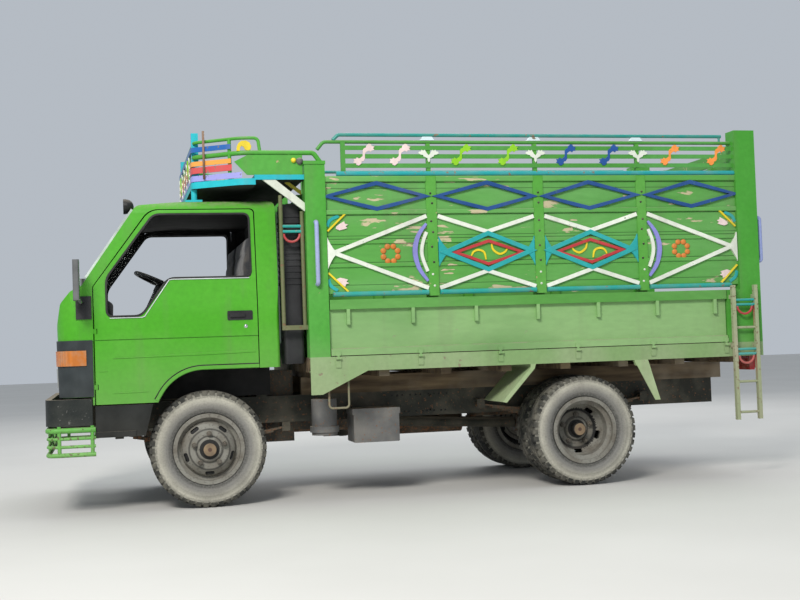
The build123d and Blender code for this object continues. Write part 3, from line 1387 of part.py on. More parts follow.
# Splash plates ahead of the rear wheels, strips behind them, grab rails, wire steps and rear lamps
splash_inner = 500
splash_x = wheelbase - tyre_radius - 30
splash = across([(splash_x, sill_bottom), (splash_x + 36, sill_bottom), (splash_x + 28, sill_bottom - 29),
                 (splash_x - 178, sill_bottom - 251), (splash_x - 206, sill_bottom - 243),
                 (splash_x, sill_bottom - 21)],
                -body_half_width, -splash_inner)
strip_x = wheelbase + 341
strip = across([(strip_x, sill_bottom), (strip_x + 100, sill_bottom), (strip_x + 182, sill_bottom - 277),
                (strip_x + 144, sill_bottom - 277)], -body_half_width, -body_half_width + 6)
strip += across([(strip_x, sill_bottom), (strip_x + 100, sill_bottom), (strip_x + 122, sill_bottom - 71),
                 (strip_x + 14, sill_bottom - 36)], -body_half_width, -body_half_width + 30)
pieces["splash_plates"] = solids_of([both_sides(splash), both_sides(strip)])
# Grab rails on the body's front and rear corners
grab_radius = 14
grab_bend = 18
grab_reach = 34
grab_top = 1812
front_grab_x = 712
front_grab_low = 1410
rear_grab_low = 1505
rear_grab_y = -body_half_width + 36
past_grab = 3 * grab_radius
front_grab = bent_tube([
    (front_grab_x, -body_half_width + 2, grab_top), (front_grab_x, -body_half_width - grab_reach, grab_top),
    (front_grab_x, -body_half_width - grab_reach, front_grab_low),
    (front_grab_x, -body_half_width + 2, front_grab_low)], grab_bend, grab_radius)
rear_grab = bent_tube([
    (body_rear - 2, rear_grab_y, grab_top), (body_rear + grab_reach, rear_grab_y, grab_top),
    (body_rear + grab_reach, rear_grab_y, rear_grab_low), (body_rear - 2, rear_grab_y, rear_grab_low)],
    grab_bend, grab_radius)
front_grab -= block(front_grab_x - past_grab, front_grab_x + past_grab,
                    -body_half_width, -body_half_width + past_grab,
                    front_grab_low - past_grab, grab_top + past_grab)
rear_grab -= block(body_rear - past_grab, body_rear, rear_grab_y - past_grab, rear_grab_y + past_grab,
                   rear_grab_low - past_grab, grab_top + past_grab)
wire_radius = 7
wire = bent_tube([(772, -body_half_width + 40, sill_bottom), (772, -body_half_width + 40, 604),
                  (902, -body_half_width + 40, 604), (902, -body_half_width + 40, sill_bottom)], 24,
                  wire_radius)
pieces["grab_rails"] = solids_of([both_sides(front_grab), both_sides(rear_grab), both_sides(wire)])
rear_lamp = block(body_rear - 62, body_rear - 22, -840, -640, 740, sill_bottom)
rear_lamp += block(body_rear - 22, body_rear - 6, -834, -646, 752, 828)
pieces["rear_lamps"] = both_sides(rear_lamp)

# Right-hand pieces that move on their own or stand in their own node
for name in ("tyre_front", "rim_front", "tyres_rear", "rims_rear", "knuckle", "door", "door_handle",
             "drop_side"):
    pieces[name + "_right"] = mirrored(pieces[name + "_left"])

# The origin is on the ground under the middle of the truck's box
low_x = min(piece.bounding_box().min.X for piece in pieces.values())
high_x = max(piece.bounding_box().max.X for piece in pieces.values())
origin_x = (low_x + high_x) / 2

os.makedirs("parts", exist_ok=True)
for name, piece in pieces.items():
    export_step(Pos(-origin_x, 0, 0) * piece, "parts/" + name + ".step")
print("pieces", len(pieces), "origin x", round(origin_x, 3))
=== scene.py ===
import json
import math

import bmesh
import bpy
from mathutils import Matrix, Vector

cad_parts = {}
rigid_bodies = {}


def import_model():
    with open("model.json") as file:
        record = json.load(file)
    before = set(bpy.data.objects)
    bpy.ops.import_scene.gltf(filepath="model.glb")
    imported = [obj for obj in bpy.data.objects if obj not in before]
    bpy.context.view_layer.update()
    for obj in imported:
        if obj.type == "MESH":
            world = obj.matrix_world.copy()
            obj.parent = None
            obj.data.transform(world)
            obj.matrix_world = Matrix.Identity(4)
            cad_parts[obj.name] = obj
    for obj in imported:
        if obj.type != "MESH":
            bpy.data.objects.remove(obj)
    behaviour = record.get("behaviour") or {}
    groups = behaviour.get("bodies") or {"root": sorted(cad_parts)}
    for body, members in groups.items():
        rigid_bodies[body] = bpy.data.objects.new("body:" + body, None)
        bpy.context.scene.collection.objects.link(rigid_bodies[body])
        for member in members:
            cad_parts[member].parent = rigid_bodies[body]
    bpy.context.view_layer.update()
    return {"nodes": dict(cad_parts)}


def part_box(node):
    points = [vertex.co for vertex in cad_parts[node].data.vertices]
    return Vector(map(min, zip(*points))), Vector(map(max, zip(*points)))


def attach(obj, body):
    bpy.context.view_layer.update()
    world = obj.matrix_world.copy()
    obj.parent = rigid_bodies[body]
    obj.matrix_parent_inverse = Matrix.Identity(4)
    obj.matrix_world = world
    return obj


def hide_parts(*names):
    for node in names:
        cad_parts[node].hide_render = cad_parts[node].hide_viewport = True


for stale in list(bpy.data.objects):
    bpy.data.objects.remove(stale)

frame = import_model()

# Places taken from the frame. Tables below give x from the front axle and z from the ground, in millimetres
axle_low, axle_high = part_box("tyre_front_left")
AXLE_X = (axle_low.x + axle_high.x) / 2
AXLE_Z = (axle_low.z + axle_high.z) / 2
TYRE_RADIUS = (axle_high.z - axle_low.z) / 2
TYRE_HALF = (axle_high.y - axle_low.y) / 2
FRONT_TRACK = -(axle_low.y + axle_high.y) / 2
twin_low, twin_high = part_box("tyres_rear_left")
REAR_X = (twin_low.x + twin_high.x) / 2
TWIN_OUTER = -twin_low.y - TYRE_HALF
TWIN_INNER = -twin_high.y + TYRE_HALF
MOULDING_PROUD = 0.016
BOARD_Y = -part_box("side_boards")[0].y - MOULDING_PROUD
POST_Y = -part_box("stake_posts")[0].y
RACK_Y = -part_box("racks")[0].y
DROP_FACE_Y = 0.879
COLUMN_FACE_Y = 0.891
CARRIER_FACE_Y = 0.868
RAIL_WEB_Y = 0.36
POSTS_X = (1494, 2243, 2992)
MIDDLE_X = POSTS_X[1]
SIDES = (("left", -1), ("right", 1))


def place(x, y, z):
    """A point in metres, from millimetres behind the front axle, right of the middle and above ground."""
    return Vector((AXLE_X + x / 1000, y / 1000, z / 1000))


# Shader graphs
class Paint:
    """A material's node tree, with short ways to add the nodes that the finishes share."""

    def __init__(self, name):
        self.material = bpy.data.materials.new(name)
        self.material.use_nodes = True
        self.nodes = self.material.node_tree.nodes
        self.shader = self.nodes["Principled BSDF"]
        self.tone = None
        self.point = self.new("TexCoord").outputs["Object"]
        split = self.new("SeparateXYZ")
        self.join(self.point, split.inputs[0])
        self.x, self.y, self.z = split.outputs

    def new(self, kind):
        return self.nodes.new("ShaderNode" + kind)

    def join(self, source, target):
        self.material.node_tree.links.new(source, target)

    def feed(self, value, socket):
        if isinstance(value, bpy.types.NodeSocket):
            self.join(value, socket)
        elif isinstance(value, tuple) and len(value) == 3:
            socket.default_value = (*value, 1)
        else:
            socket.default_value = value

    def calc(self, operation, a, b=0.0):
        node = self.new("Math")
        node.operation = operation
        self.feed(a, node.inputs[0])
        self.feed(b, node.inputs[1])
        return node.outputs[0]

    def times(self, a, b):
        return self.calc("MULTIPLY", a, b)

    def noise(self, scale, detail=4, stretch=(1, 1, 1), shift=0.0):
        mapping = self.new("Mapping")
        mapping.inputs["Scale"].default_value = stretch
        mapping.inputs["Location"].default_value = (shift, shift * 0.7, shift * 1.3)
        self.join(self.point, mapping.inputs["Vector"])
        node = self.new("TexNoise")
        node.inputs["Scale"].default_value = scale
        node.inputs["Detail"].default_value = detail
        self.join(mapping.outputs[0], node.inputs["Vector"])
        return node.outputs["Fac"]

    def ramp(self, value, low, high, to_low=0.0, to_high=1.0):
        node = self.new("MapRange")
        for socket, number in zip(node.inputs, (value, low, high, to_low, to_high)):
            self.feed(number, socket)
        return node.outputs[0]

    def mix(self, factor, a, b):
        node = self.new("Mix")
        node.data_type = "RGBA"
        for socket, value in ((node.inputs[0], factor), (node.inputs[6], a), (node.inputs[7], b)):
            self.feed(value, socket)
        return node.outputs[2]

    def upward(self):
        """1 on faces that look up, 0 on upright ones and undersides."""
        split = self.new("SeparateXYZ")
        self.join(self.new("NewGeometry").outputs["Normal"], split.inputs[0])
        return self.ramp(split.outputs[2], 0.35, 0.9)

    def about(self, axle):
        """How far a point lies behind an axle and above it."""
        return self.calc("SUBTRACT", self.x, axle), self.calc("SUBTRACT", self.z, AXLE_Z)

    def length(self, a, b):
        """The length of a step that goes a one way and b across it."""
        return self.calc("SQRT", self.calc("ADD", self.times(a, a), self.times(b, b)))

    def bump(self, height, distance):
        node = self.new("Bump")
        node.inputs["Distance"].default_value = distance
        self.join(height, node.inputs["Height"])
        self.join(node.outputs[0], self.shader.inputs["Normal"])

    def coat(self, factor, colour):
        """Another colour over the tone so far."""
        self.tone = self.mix(factor, self.tone, colour)

    def finish(self, rough, metallic=0.0, specular=0.5):
        self.feed(self.tone, self.shader.inputs["Base Color"])
        self.feed(rough, self.shader.inputs["Roughness"])
        self.shader.inputs["Metallic"].default_value = metallic
        self.shader.inputs["Specular IOR Level"].default_value = specular
        return self.material


DUST = (0.36, 0.31, 0.235)
DARK_DUST = (0.16, 0.135, 0.105)
TAN_WOOD = (0.47, 0.36, 0.2)


def worn_paint(name, colour, faded, under, chips, fade=(0.42, 0.62), dust_top=0.9, dust=0.5, rough=0.45,
               grain=(1, 1, 1), dents=0.004, flakes=17, scratches=0.0, shade_lines=()):
    """Paint that has faded in clouds, chipped to what is under it and gathered road dust below, with
    near-black painted shade lines at given heights.
    """
    p = Paint(name)
    cloud = p.noise(1.7, 5, grain)
    p.tone = p.mix(p.ramp(cloud, *fade), colour, faded)
    fine = p.noise(34, 6, grain, 3.1)
    p.coat(p.ramp(fine, 0.3, 0.75, 0.0, 0.28), tuple(c * 0.55 for c in colour))
    flake = p.noise(flakes, 9, grain, 7.3)
    chipped = p.ramp(p.calc("ADD", flake, p.ramp(cloud, 0.4, 0.7, -0.05, 0.05)), chips, chips + 0.02)
    if scratches:
        lines = p.noise(55, 3, (0.1, 1, 1), 12.0)
        patch = p.ramp(p.noise(4.0, 3, (0.6, 1, 1), 9.0), 0.5, 0.62)
        scratch = p.ramp(p.times(lines, patch), 0.83 - scratches, 0.85 - scratches)
        chipped = p.calc("MAXIMUM", chipped, scratch)
    p.coat(p.times(chipped, 0.85), under)
    streak = p.noise(9, 4, (1, 1, 0.12), 1.7)
    p.coat(p.ramp(streak, 0.55, 0.85, 0.0, 0.3), DARK_DUST)
    low = p.ramp(p.calc("ADD", p.z, p.times(cloud, -0.35)), dust_top, dust_top - 0.75, 0.0, dust)
    ledge = p.times(p.upward(), 0.5)
    grime = p.calc("MAXIMUM", low, p.times(ledge, p.ramp(fine, 0.3, 0.6)))
    p.coat(grime, DUST)
    # Painted shade: near-black lines at the given heights, along the edges of the battens.
    for shade_line in shade_lines:
        near = p.calc("ABSOLUTE", p.calc("SUBTRACT", p.z, shade_line))
        p.coat(p.ramp(near, 0.0024, 0.0014, 0.0, 0.85), tuple(c * 0.12 for c in colour))
    p.bump(p.calc("ADD", p.times(chipped, -0.25), p.noise(5.5, 3, shift=2.2)), dents)
    return p.finish(p.ramp(p.calc("ADD", grime, chipped), 0.0, 1.0, rough, 0.9), specular=0.32)


def dusty_metal(name, colour, rust=(0.2, 0.09, 0.04), rust_level=0.62, dust=0.5, rough=0.6, metallic=0.0):
    """Chassis iron or cast parts: dark, spotted with rust, with dust lying on what looks up."""
    p = Paint(name)
    cloud = p.noise(5, 6)
    fine = p.noise(60, 5, shift=4.0)
    p.tone = p.mix(p.ramp(cloud, 0.35, 0.7), colour, tuple(c * 1.9 for c in colour))
    p.coat(p.ramp(fine, rust_level, rust_level + 0.08), rust)
    grime = p.calc("MAXIMUM", p.times(p.upward(), 0.8), p.ramp(cloud, 0.45, 0.75, 0.0, dust))
    p.coat(grime, DUST)
    p.bump(fine, 0.002)
    return p.finish(p.ramp(grime, 0.0, 1.0, rough, 0.95), metallic, 0.35)


def from_axle(p):
    """Distance of a point from the nearer axle, seen from the side."""
    return p.calc("MINIMUM", *[p.length(*p.about(axle)) for axle in (AXLE_X, REAR_X)])


def rubber(name):
    """Tyre rubber grey with road dust, darker in rings near the bead and in the shoulder."""
    p = Paint(name)
    cloud = p.noise(7, 6)
    fine = p.noise(90, 5, shift=2.0)
    radius = from_axle(p)
    p.tone = p.mix(p.ramp(radius, 0.27, 0.325), (0.21, 0.205, 0.19), (0.5, 0.48, 0.4))
    p.coat(p.ramp(cloud, 0.4, 0.75, 0.0, 0.5), (0.2, 0.19, 0.165))
    dark = (0.055, 0.055, 0.05)
    p.coat(p.ramp(fine, 0.45, 0.8, 0.0, 0.3), dark)
    bead = p.ramp(radius, 0.262, 0.246, 0.0, 0.8)
    shoulder = p.ramp(radius, 0.322, 0.348, 0.0, 0.75)
    p.coat(p.times(p.calc("MAXIMUM", bead, shoulder), p.ramp(fine, 0.3, 0.6, 0.5, 1.0)), dark)
    p.bump(fine, 0.0015)
    return p.finish(0.92)


def tread_rubber(name):
    """The running surface: darker, with dust in patches."""
    p = Paint(name)
    cloud = p.noise(11, 6)
    p.tone = p.mix(p.ramp(cloud, 0.4, 0.72), (0.028, 0.029, 0.026), (0.17, 0.16, 0.13))
    p.bump(p.noise(120, 4), 0.001)
    return p.finish(0.9)


SLOTS = 5
FIRST_SLOT = 54
SLOT_RING = 0.152
SLOT_HALF = 0.018
SLOT_END = 0.012


def slot_shade(p):
    """1 on what shows through the long slots of a wheel's disc, 0 elsewhere: the mask of a painted shade."""
    shade = 0.0
    for across, up in [p.about(axle) for axle in (AXLE_X, REAR_X)]:
        for k in range(SLOTS):
            turn = math.radians(FIRST_SLOT + 360 / SLOTS * k)
            cos, sin = math.cos(turn), math.sin(turn)
            outward = p.calc("ADD", p.times(across, cos), p.times(up, sin))
            along = p.calc("SUBTRACT", p.times(up, cos), p.times(across, sin))
            past = p.calc("MAXIMUM", p.calc("SUBTRACT", p.calc("ABSOLUTE", along), SLOT_HALF), 0.0)
            gap = p.length(past, p.calc("SUBTRACT", outward, SLOT_RING))
            shade = p.calc("MAXIMUM", shade, p.ramp(gap, SLOT_END + 0.0002, SLOT_END - 0.0002))
    return shade


def wheel_paint(name):
    """Grey wheel paint with brown dirt in its wells, painted shade in rings along its crevices, and a bare
    hub cap in a black ring.
    """
    p = Paint(name)
    radius = from_axle(p)
    cloud = p.noise(9, 6)
    fine = p.noise(70, 6, shift=4.0)
    p.tone = p.mix(p.ramp(cloud, 0.35, 0.7), (0.24, 0.235, 0.205), (0.14, 0.125, 0.1))
    p.coat(p.ramp(fine, 0.55, 0.7, 0.0, 0.6), (0.06, 0.05, 0.04))
    # Painted shade: near-black rings along the crevices of the disc and hub.
    for inner, outer in ((0.126, 0.131), (0.083, 0.087)):
        near = p.times(p.ramp(radius, inner - 0.006, inner), p.ramp(radius, outer + 0.006, outer))
        p.coat(p.times(near, 0.75), (0.02, 0.019, 0.016))
    p.coat(p.ramp(radius, 0.066, 0.062), (0.012, 0.012, 0.011))
    cap = p.mix(p.ramp(cloud, 0.35, 0.65), (0.3, 0.21, 0.12), (0.14, 0.1, 0.065))
    p.coat(p.ramp(radius, 0.042, 0.039), cap)
    p.coat(p.ramp(radius, 0.015, 0.011), (0.09, 0.05, 0.035))
    # Painted shade: near black on whatever shows through the disc's slots, for the depth of the opening.
    p.coat(slot_shade(p), (0.006, 0.006, 0.006))
    p.bump(fine, 0.002)
    return p.finish(0.75)


def plain_plastic(name, colour, rough=0.45, dust=0.25, dust_top=0.9, ledge=0.35):
    """Moulded plastic or trim with fine grain and dust toward the road."""
    p = Paint(name)
    cloud = p.noise(6, 5)
    grain = p.noise(260, 3, shift=1.0)
    p.tone = p.mix(p.ramp(cloud, 0.35, 0.7), colour, tuple(c * 1.7 + 0.01 for c in colour))
    low = p.ramp(p.z, dust_top, dust_top - 0.6, 0.0, dust)
    grime = p.calc("MAXIMUM", low, p.times(p.upward(), ledge))
    p.coat(p.times(grime, p.ramp(cloud, 0.3, 0.6, 0.4, 1.0)), DUST)
    p.bump(grain, 0.0006)
    return p.finish(p.ramp(grime, 0.0, 1.0, rough, 0.9), specular=0.3)


def wood(name, colour, dark):
    """Rough boards, with grain along the truck."""
    p = Paint(name)
    grain = p.noise(22, 8, (0.12, 1, 1))
    cloud = p.noise(2.5, 4, shift=5.0)
    p.tone = p.mix(p.ramp(grain, 0.35, 0.7), dark, colour)
    p.coat(p.ramp(cloud, 0.45, 0.7, 0.0, 0.7), DUST)
    p.bump(grain, 0.003)
    return p.finish(0.85)


def lens(name, colour):
    """Ribbed lamp plastic with a little dust."""
    p = Paint(name)
    ribs = p.new("TexWave")
    ribs.bands_direction = "Y"
    ribs.inputs["Scale"].default_value = 24
    p.join(p.point, ribs.inputs["Vector"])
    cloud = p.noise(14, 5)
    p.tone = p.mix(p.ramp(ribs.outputs["Fac"], 0.2, 0.8, 0.0, 0.35), colour, tuple(c * 0.6 for c in colour))
    p.coat(p.ramp(cloud, 0.45, 0.75, 0.0, 0.45), DUST)
    p.bump(ribs.outputs["Fac"], 0.002)
    p.shader.inputs["Coat Weight"].default_value = 0.5
    return p.finish(0.12)


def window_glass(name):
    """Clear glass, a little green, with a film of dust."""
    p = Paint(name)
    film = p.ramp(p.noise(3.5, 6), 0.4, 0.8, 0.02, 0.2)
    p.shader.inputs["Transmission Weight"].default_value = 1.0
    p.shader.inputs["IOR"].default_value = 1.18
    p.tone = (0.86, 0.93, 0.9)
    return p.finish(film)


def cloth(name, colour):
    """Woven seat cloth, worn paler in patches."""
    p = Paint(name)
    threads = [p.noise(420, 2, stretch) for stretch in ((1, 0.12, 1), (0.12, 1, 1))]
    cloud = p.noise(6, 4)
    p.tone = p.mix(p.ramp(threads[0], 0.35, 0.65), colour, tuple(c * 1.8 for c in colour))
    p.coat(p.ramp(cloud, 0.5, 0.75, 0.0, 0.4), DUST)
    p.bump(p.calc("ADD", *threads), 0.0012)
    p.shader.inputs["Sheen Weight"].default_value = 0.3
    return p.finish(0.9)


def banded_paint(name, bands):
    """Bright enamel whose colour changes with height: (height in mm from which the colour holds, colour)."""
    p = Paint(name)
    p.tone = bands[0][1]
    for start, colour in bands[1:]:
        p.coat(p.ramp(p.z, start / 1000 - 0.0005, start / 1000 + 0.0005), colour)
    fine = p.noise(26, 8, shift=5.0)
    p.coat(p.ramp(fine, 0.64, 0.68), (0.2, 0.16, 0.11))
    p.coat(p.ramp(p.noise(9, 5), 0.4, 0.75, 0.0, 0.2), DUST)
    p.bump(fine, 0.001)
    return p.finish(0.35, specular=0.35)


LIME = (0.066, 0.365, 0.014)
BOARD_GREEN = (0.103, 0.36, 0.066)
PALE_BOARD = (0.17, 0.42, 0.13)
CREAM_WOOD = (0.62, 0.5, 0.34)
FADED = (0.26, 0.47, 0.18)
CHALK = (0.12, 0.31, 0.085)
TEAL = (0.02, 0.33, 0.29)
BRIGHT_TEAL = (0.02, 0.5, 0.58)
BLUE = (0.014, 0.07, 0.24)
WHITE = (0.74, 0.78, 0.68)
RED = (0.47, 0.04, 0.045)
YELLOW = (0.78, 0.6, 0.02)
ORANGE = (0.82, 0.27, 0.05)
VIOLET = (0.26, 0.26, 0.66)
PINK = (0.78, 0.62, 0.6)
LEAF_LIME = (0.27, 0.6, 0.02)
IRON = (0.026, 0.027, 0.02)

looks = {
    "lime": worn_paint("lime_paint", LIME, (0.085, 0.39, 0.024), (0.07, 0.075, 0.05), 0.75, dust_top=0.98,
                       dust=0.3, rough=0.38, dents=0.002, flakes=40),
    "column": worn_paint("column_paint", (0.065, 0.34, 0.035), (0.09, 0.37, 0.055), TAN_WOOD, 0.71),
    "post": worn_paint("post_paint", (0.09, 0.36, 0.045), (0.13, 0.4, 0.075), TAN_WOOD, 0.69),
    # The boards get painted shade lines along the edges of their battens.
    "board": worn_paint("board_paint", BOARD_GREEN, PALE_BOARD, CREAM_WOOD, 0.628, grain=(0.22, 1, 1),
                        dents=0.006, scratches=0.28, shade_lines=(2.032, 1.721, 1.701, 1.546, 1.4)),
    "rack": worn_paint("rack_paint", (0.075, 0.3, 0.05), (0.1, 0.36, 0.08), TAN_WOOD, 0.72),
    "drop": worn_paint("drop_paint", FADED, CHALK, (0.3, 0.3, 0.2), 0.7, grain=(0.35, 1, 1), fade=(0.5, 0.7),
                       dust_top=1.1, dust=0.3, rough=0.6),
    "drop_flange": worn_paint("drop_flange_paint", (0.1, 0.33, 0.06), (0.15, 0.38, 0.1), (0.3, 0.3, 0.2),
                              0.7, grain=(0.35, 1, 1), dust=0.2, rough=0.55),
    "sill": worn_paint("sill_paint", (0.2, 0.38, 0.13), (0.27, 0.42, 0.19), (0.22, 0.18, 0.12), 0.68,
                       dust_top=1.1, dust=0.35, rough=0.6),
    "splash": worn_paint("splash_paint", (0.3, 0.46, 0.2), (0.42, 0.56, 0.3), (0.3, 0.25, 0.2), 0.68,
                         dust_top=1.1, dust=0.3, rough=0.6),
    "guard": worn_paint("guard_paint", (0.07, 0.36, 0.035), (0.14, 0.45, 0.08), (0.1, 0.07, 0.045), 0.6,
                        dust_top=0.55, dust=0.4, flakes=45),
    "teal": worn_paint("teal_paint", TEAL, (0.04, 0.42, 0.38), (0.3, 0.3, 0.24), 0.68, flakes=45, rough=0.4),
    "pale": worn_paint("pale_paint", (0.3, 0.4, 0.2), (0.42, 0.42, 0.28), (0.2, 0.13, 0.08), 0.6,
                       dust_top=1.2, dust=0.35, flakes=45),
    "white": worn_paint("white_paint", WHITE, (0.62, 0.66, 0.56), (0.14, 0.28, 0.1), 0.68, flakes=45),
    "yellow": worn_paint("yellow_paint", YELLOW, (0.7, 0.6, 0.1), (0.2, 0.3, 0.1), 0.68, flakes=45),
    "red": worn_paint("red_paint", RED, (0.5, 0.1, 0.1), (0.2, 0.18, 0.12), 0.66, flakes=45),
    "rod": worn_paint("rod_paint", (0.2, 0.11, 0.07), (0.27, 0.17, 0.11), (0.4, 0.36, 0.28), 0.66, flakes=45),
    "olive": worn_paint("olive_paint", (0.12, 0.15, 0.06), (0.17, 0.17, 0.09), (0.2, 0.12, 0.07), 0.62,
                        flakes=45, rough=0.6),
    "floor_teal": worn_paint("carrier_floor_paint", BRIGHT_TEAL, (0.02, 0.42, 0.5), (0.2, 0.28, 0.24), 0.69),
    "violet": worn_paint("violet_paint", (0.3, 0.36, 0.66), (0.38, 0.44, 0.7), (0.2, 0.2, 0.2), 0.68,
                         flakes=45),
    "wheel": wheel_paint("wheel_paint"),
    "iron": dusty_metal("chassis_iron", IRON, dust=0.3),
    "nut": dusty_metal("wheel_nuts", (0.07, 0.063, 0.052), rust=(0.1, 0.07, 0.05), dust=0.15),
    "cast": dusty_metal("cast_iron", (0.04, 0.037, 0.03), rust_level=0.55, dust=0.35),
    "spring": dusty_metal("spring_steel", (0.06, 0.045, 0.03), rust_level=0.5, dust=0.4),
    "box": dusty_metal("box_grey", (0.1, 0.1, 0.098), dust=0.3),
    "bumper": dusty_metal("bumper_black", (0.009, 0.012, 0.011), rust=(0.13, 0.13, 0.12), rust_level=0.66,
                          dust=0.06, rough=0.45),
    "trim": plain_plastic("corner_trim", (0.02, 0.026, 0.028), 0.5, dust=0.06),
    "black": plain_plastic("black_plastic", (0.016, 0.016, 0.017), 0.4),
    "mirror_grey": plain_plastic("mirror_grey", (0.085, 0.088, 0.09), 0.55),
    "skirt": plain_plastic("lower_panel", (0.007, 0.008, 0.007), 0.45, dust=0.09, dust_top=0.65, ledge=0.85),
    "dash": plain_plastic("dash_plastic", (0.03, 0.031, 0.033), 0.6, dust=0.0),
    "liner": plain_plastic("cab_lining", (0.014, 0.014, 0.014), 0.85, dust=0.0, ledge=0.15),
    "seal": plain_plastic("seal_rubber", (0.014, 0.014, 0.014), 0.7, dust=0.0, ledge=0.15),
    # The pale rubber also serves as a painted sheen along the windows' feet.
    "pale_seal_and_sheen": plain_plastic("pale_rubber_and_sheen", (0.4, 0.43, 0.43), 0.5, dust=0.0, ledge=0.2),
    "amber": lens("amber_lens", (0.56, 0.17, 0.02)),
    "clear": lens("lamp_lens", (0.3, 0.32, 0.32)),
    "red_lens": lens("rear_lens", (0.4, 0.015, 0.015)),
    "mirror_glass": dusty_metal("mirror_glass", (0.5, 0.52, 0.54), (0.2, 0.2, 0.2), 0.75, 0.1, 0.12, 1.0),
    "glass": window_glass("window_glass"),
    "deck": wood("deck_boards", (0.22, 0.16, 0.09), (0.075, 0.05, 0.03)),
    "seat": cloth("seat_cloth", (0.02, 0.021, 0.024)),
    "rubber": rubber("tyre_sidewall"),
    "tread": tread_rubber("tyre_tread"),
    "slats": banded_paint("slat_enamel", [(0, (0.33, 0.33, 0.74)), (2150, (0.62, 0.07, 0.08)),
                                          (2204, (0.86, 0.36, 0.06)), (2260, (0.02, 0.12, 0.4))]),
    "bars": banded_paint("bar_enamel", [(0, TEAL), (2100, (0.015, 0.33, 0.34)), (2355, (0.02, 0.27, 0.23))]),
    "cap_white": banded_paint("cap_enamel", [(0, (0.66, 0.8, 0.84)), (2383, (0.02, 0.27, 0.23))]),
}


def dress(node, choose):
    """Gives each face of a CAD node a finish, chosen from its middle in millimetres and its normal."""
    holder = frame["nodes"][node]
    mesh = holder.data
    names, picks = [], []
    turn = holder.matrix_world.to_3x3()
    for polygon in mesh.polygons:
        middle = holder.matrix_world @ polygon.center
        name = choose((middle.x - AXLE_X) * 1000, middle.y * 1000, middle.z * 1000, turn @ polygon.normal)
        if name not in names:
            names.append(name)
        picks.append(names.index(name))
    mesh.materials.clear()
    for name in names:
        mesh.materials.append(looks[name])
    mesh.polygons.foreach_set("material_index", picks)


CAB_HEART = Vector((-228, 0, 1400))


def cab_finish(x, y, z, n):
    """Paint on the cab's outside, dark lining on its inside, edges and underside."""
    outward = (Vector((x, y, z)) - CAB_HEART).normalized()
    return "lime" if outward.dot(n) > 0.3 and n.z > -0.5 else "liner"


def bar_finish(x, y, z, n):
    """White caps where the top bars pass over the posts."""
    return "cap_white" if z > 2350 and any(abs(x - post) < 54 for post in POSTS_X) else "bars"


def leg_finish(x, y, z, n):
    """White outer legs, yellow braces and teal feet."""
    return "white" if abs(y) > 860 else "yellow" if abs(y) > 735 else "floor_teal"


def frame_finish(x, y, z, n):
    """Column green, and teal with a violet front at the two front corners."""
    if x < 0 and 596 < abs(y) < 650 and z > 2105:
        return "violet" if n.x < -0.5 else "floor_teal"
    return "column"


def drop_finish(x, y, z, n):
    """Faded panels, with fresher green on the top flange and the inside."""
    return "drop_flange" if z > 1238 or abs(y) < 890 and n.y * y < 0 else "drop"


def upright_finish(x, y, z, n):
    """Teal double bars and a red half ring on dull green rods."""
    if not 508 < x < 622 or not 1680 < z < 1810:
        return "olive"
    return "red" if z < 1747 else "teal"


def ladder_finish(x, y, z, n):
    """Teal double bars and red half rings between pale rails."""
    if abs(x - 3709) > 71:
        return "pale"
    if any(abs(z - bar) < 12 for bar in (857, 889, 1200, 1232)):
        return "teal"
    return "red" if 780 < z < 848 or 1123 < z < 1191 else "pale"


def rim_finish(wheel_x, slot_y, flat):
    """Near-black lining deep in the twin wheels' discs, a painted shade, and nuts that stand out from the
    flat of each disc.
    """
    def choose(x, y, z, n):
        radius = math.hypot(x - wheel_x, z - AXLE_Z * 1000)
        inward = slot_y - abs(y)
        # Painted shade: the deep middle of the twin wheels gets the near-black lining.
        if wheel_x and 128 < radius < 196 and inward > 16:
            return "liner"
        return "nut" if 82 < radius < 125 and inward < flat - 3 else "wheel"
    return choose


# The nodes of each finish, and rules for nodes of several, under the nodes' names without left or right
plain_nodes = {
    "rubber": "tyre_front tyres_rear", "cast": "knuckle front_axle rear_axle engine_block",
    "iron": "chassis_frame propeller_shaft fuel_tank", "spring": "leaf_springs exhaust",
    "box": "battery_box air_drum", "glass": "cab_glass", "black": "door_handle steering_wheel air_intake",
    "dash": "dashboard seat_bases", "seat": "seats", "liner": "wheel_housings", "skirt": "cab_steps",
    "trim": "grille", "bumper": "bumper", "guard": "bumper_guard", "clear": "head_lamps",
    "amber": "indicators", "red_lens": "rear_lamps", "deck": "cargo_deck", "sill": "side_sills",
    "column": "corner_columns", "post": "stake_posts", "board": "side_boards end_boards", "rack": "racks",
    "slats": "carrier_slats", "splash": "splash_plates",
}
mixed_nodes = {
    "cab_shell": cab_finish,
    "door": cab_finish,
    "mirrors": lambda x, y, z, n: "black" if abs(y) < 905 else "mirror_glass" if n.x > 0.8 else "mirror_grey",
    "roof_lamp": lambda x, y, z, n: "mirror_glass" if n.x < -0.9 and x > -492 else "black",
    "painted_bars": bar_finish,
    "grab_rails": lambda x, y, z, n: "violet" if z > 1396 else "olive",
    "carrier_legs": leg_finish,
    "carrier_frame": frame_finish,
    "carrier_floor": lambda x, y, z, n: "liner" if n.z < -0.5 else "floor_teal",
    "drop_side": drop_finish,
    "tailgate": lambda x, y, z, n: "drop_flange" if z > 1238 else "drop",
    "rear_cab_uprights": upright_finish,
    "ladder": ladder_finish,
    "rim_front": rim_finish(0, FRONT_TRACK * 1000 + 73.5, -34),
    "rims_rear": rim_finish((REAR_X - AXLE_X) * 1000, (TWIN_OUTER + TWIN_INNER) * 500 + 46, 34),
}
for node in frame["nodes"]:
    base = node.removesuffix("_left").removesuffix("_right")
    look = next((look for look, nodes in plain_nodes.items() if base in nodes.split()), None)
    dress(node, mixed_nodes.get(base, lambda x, y, z, n: look))


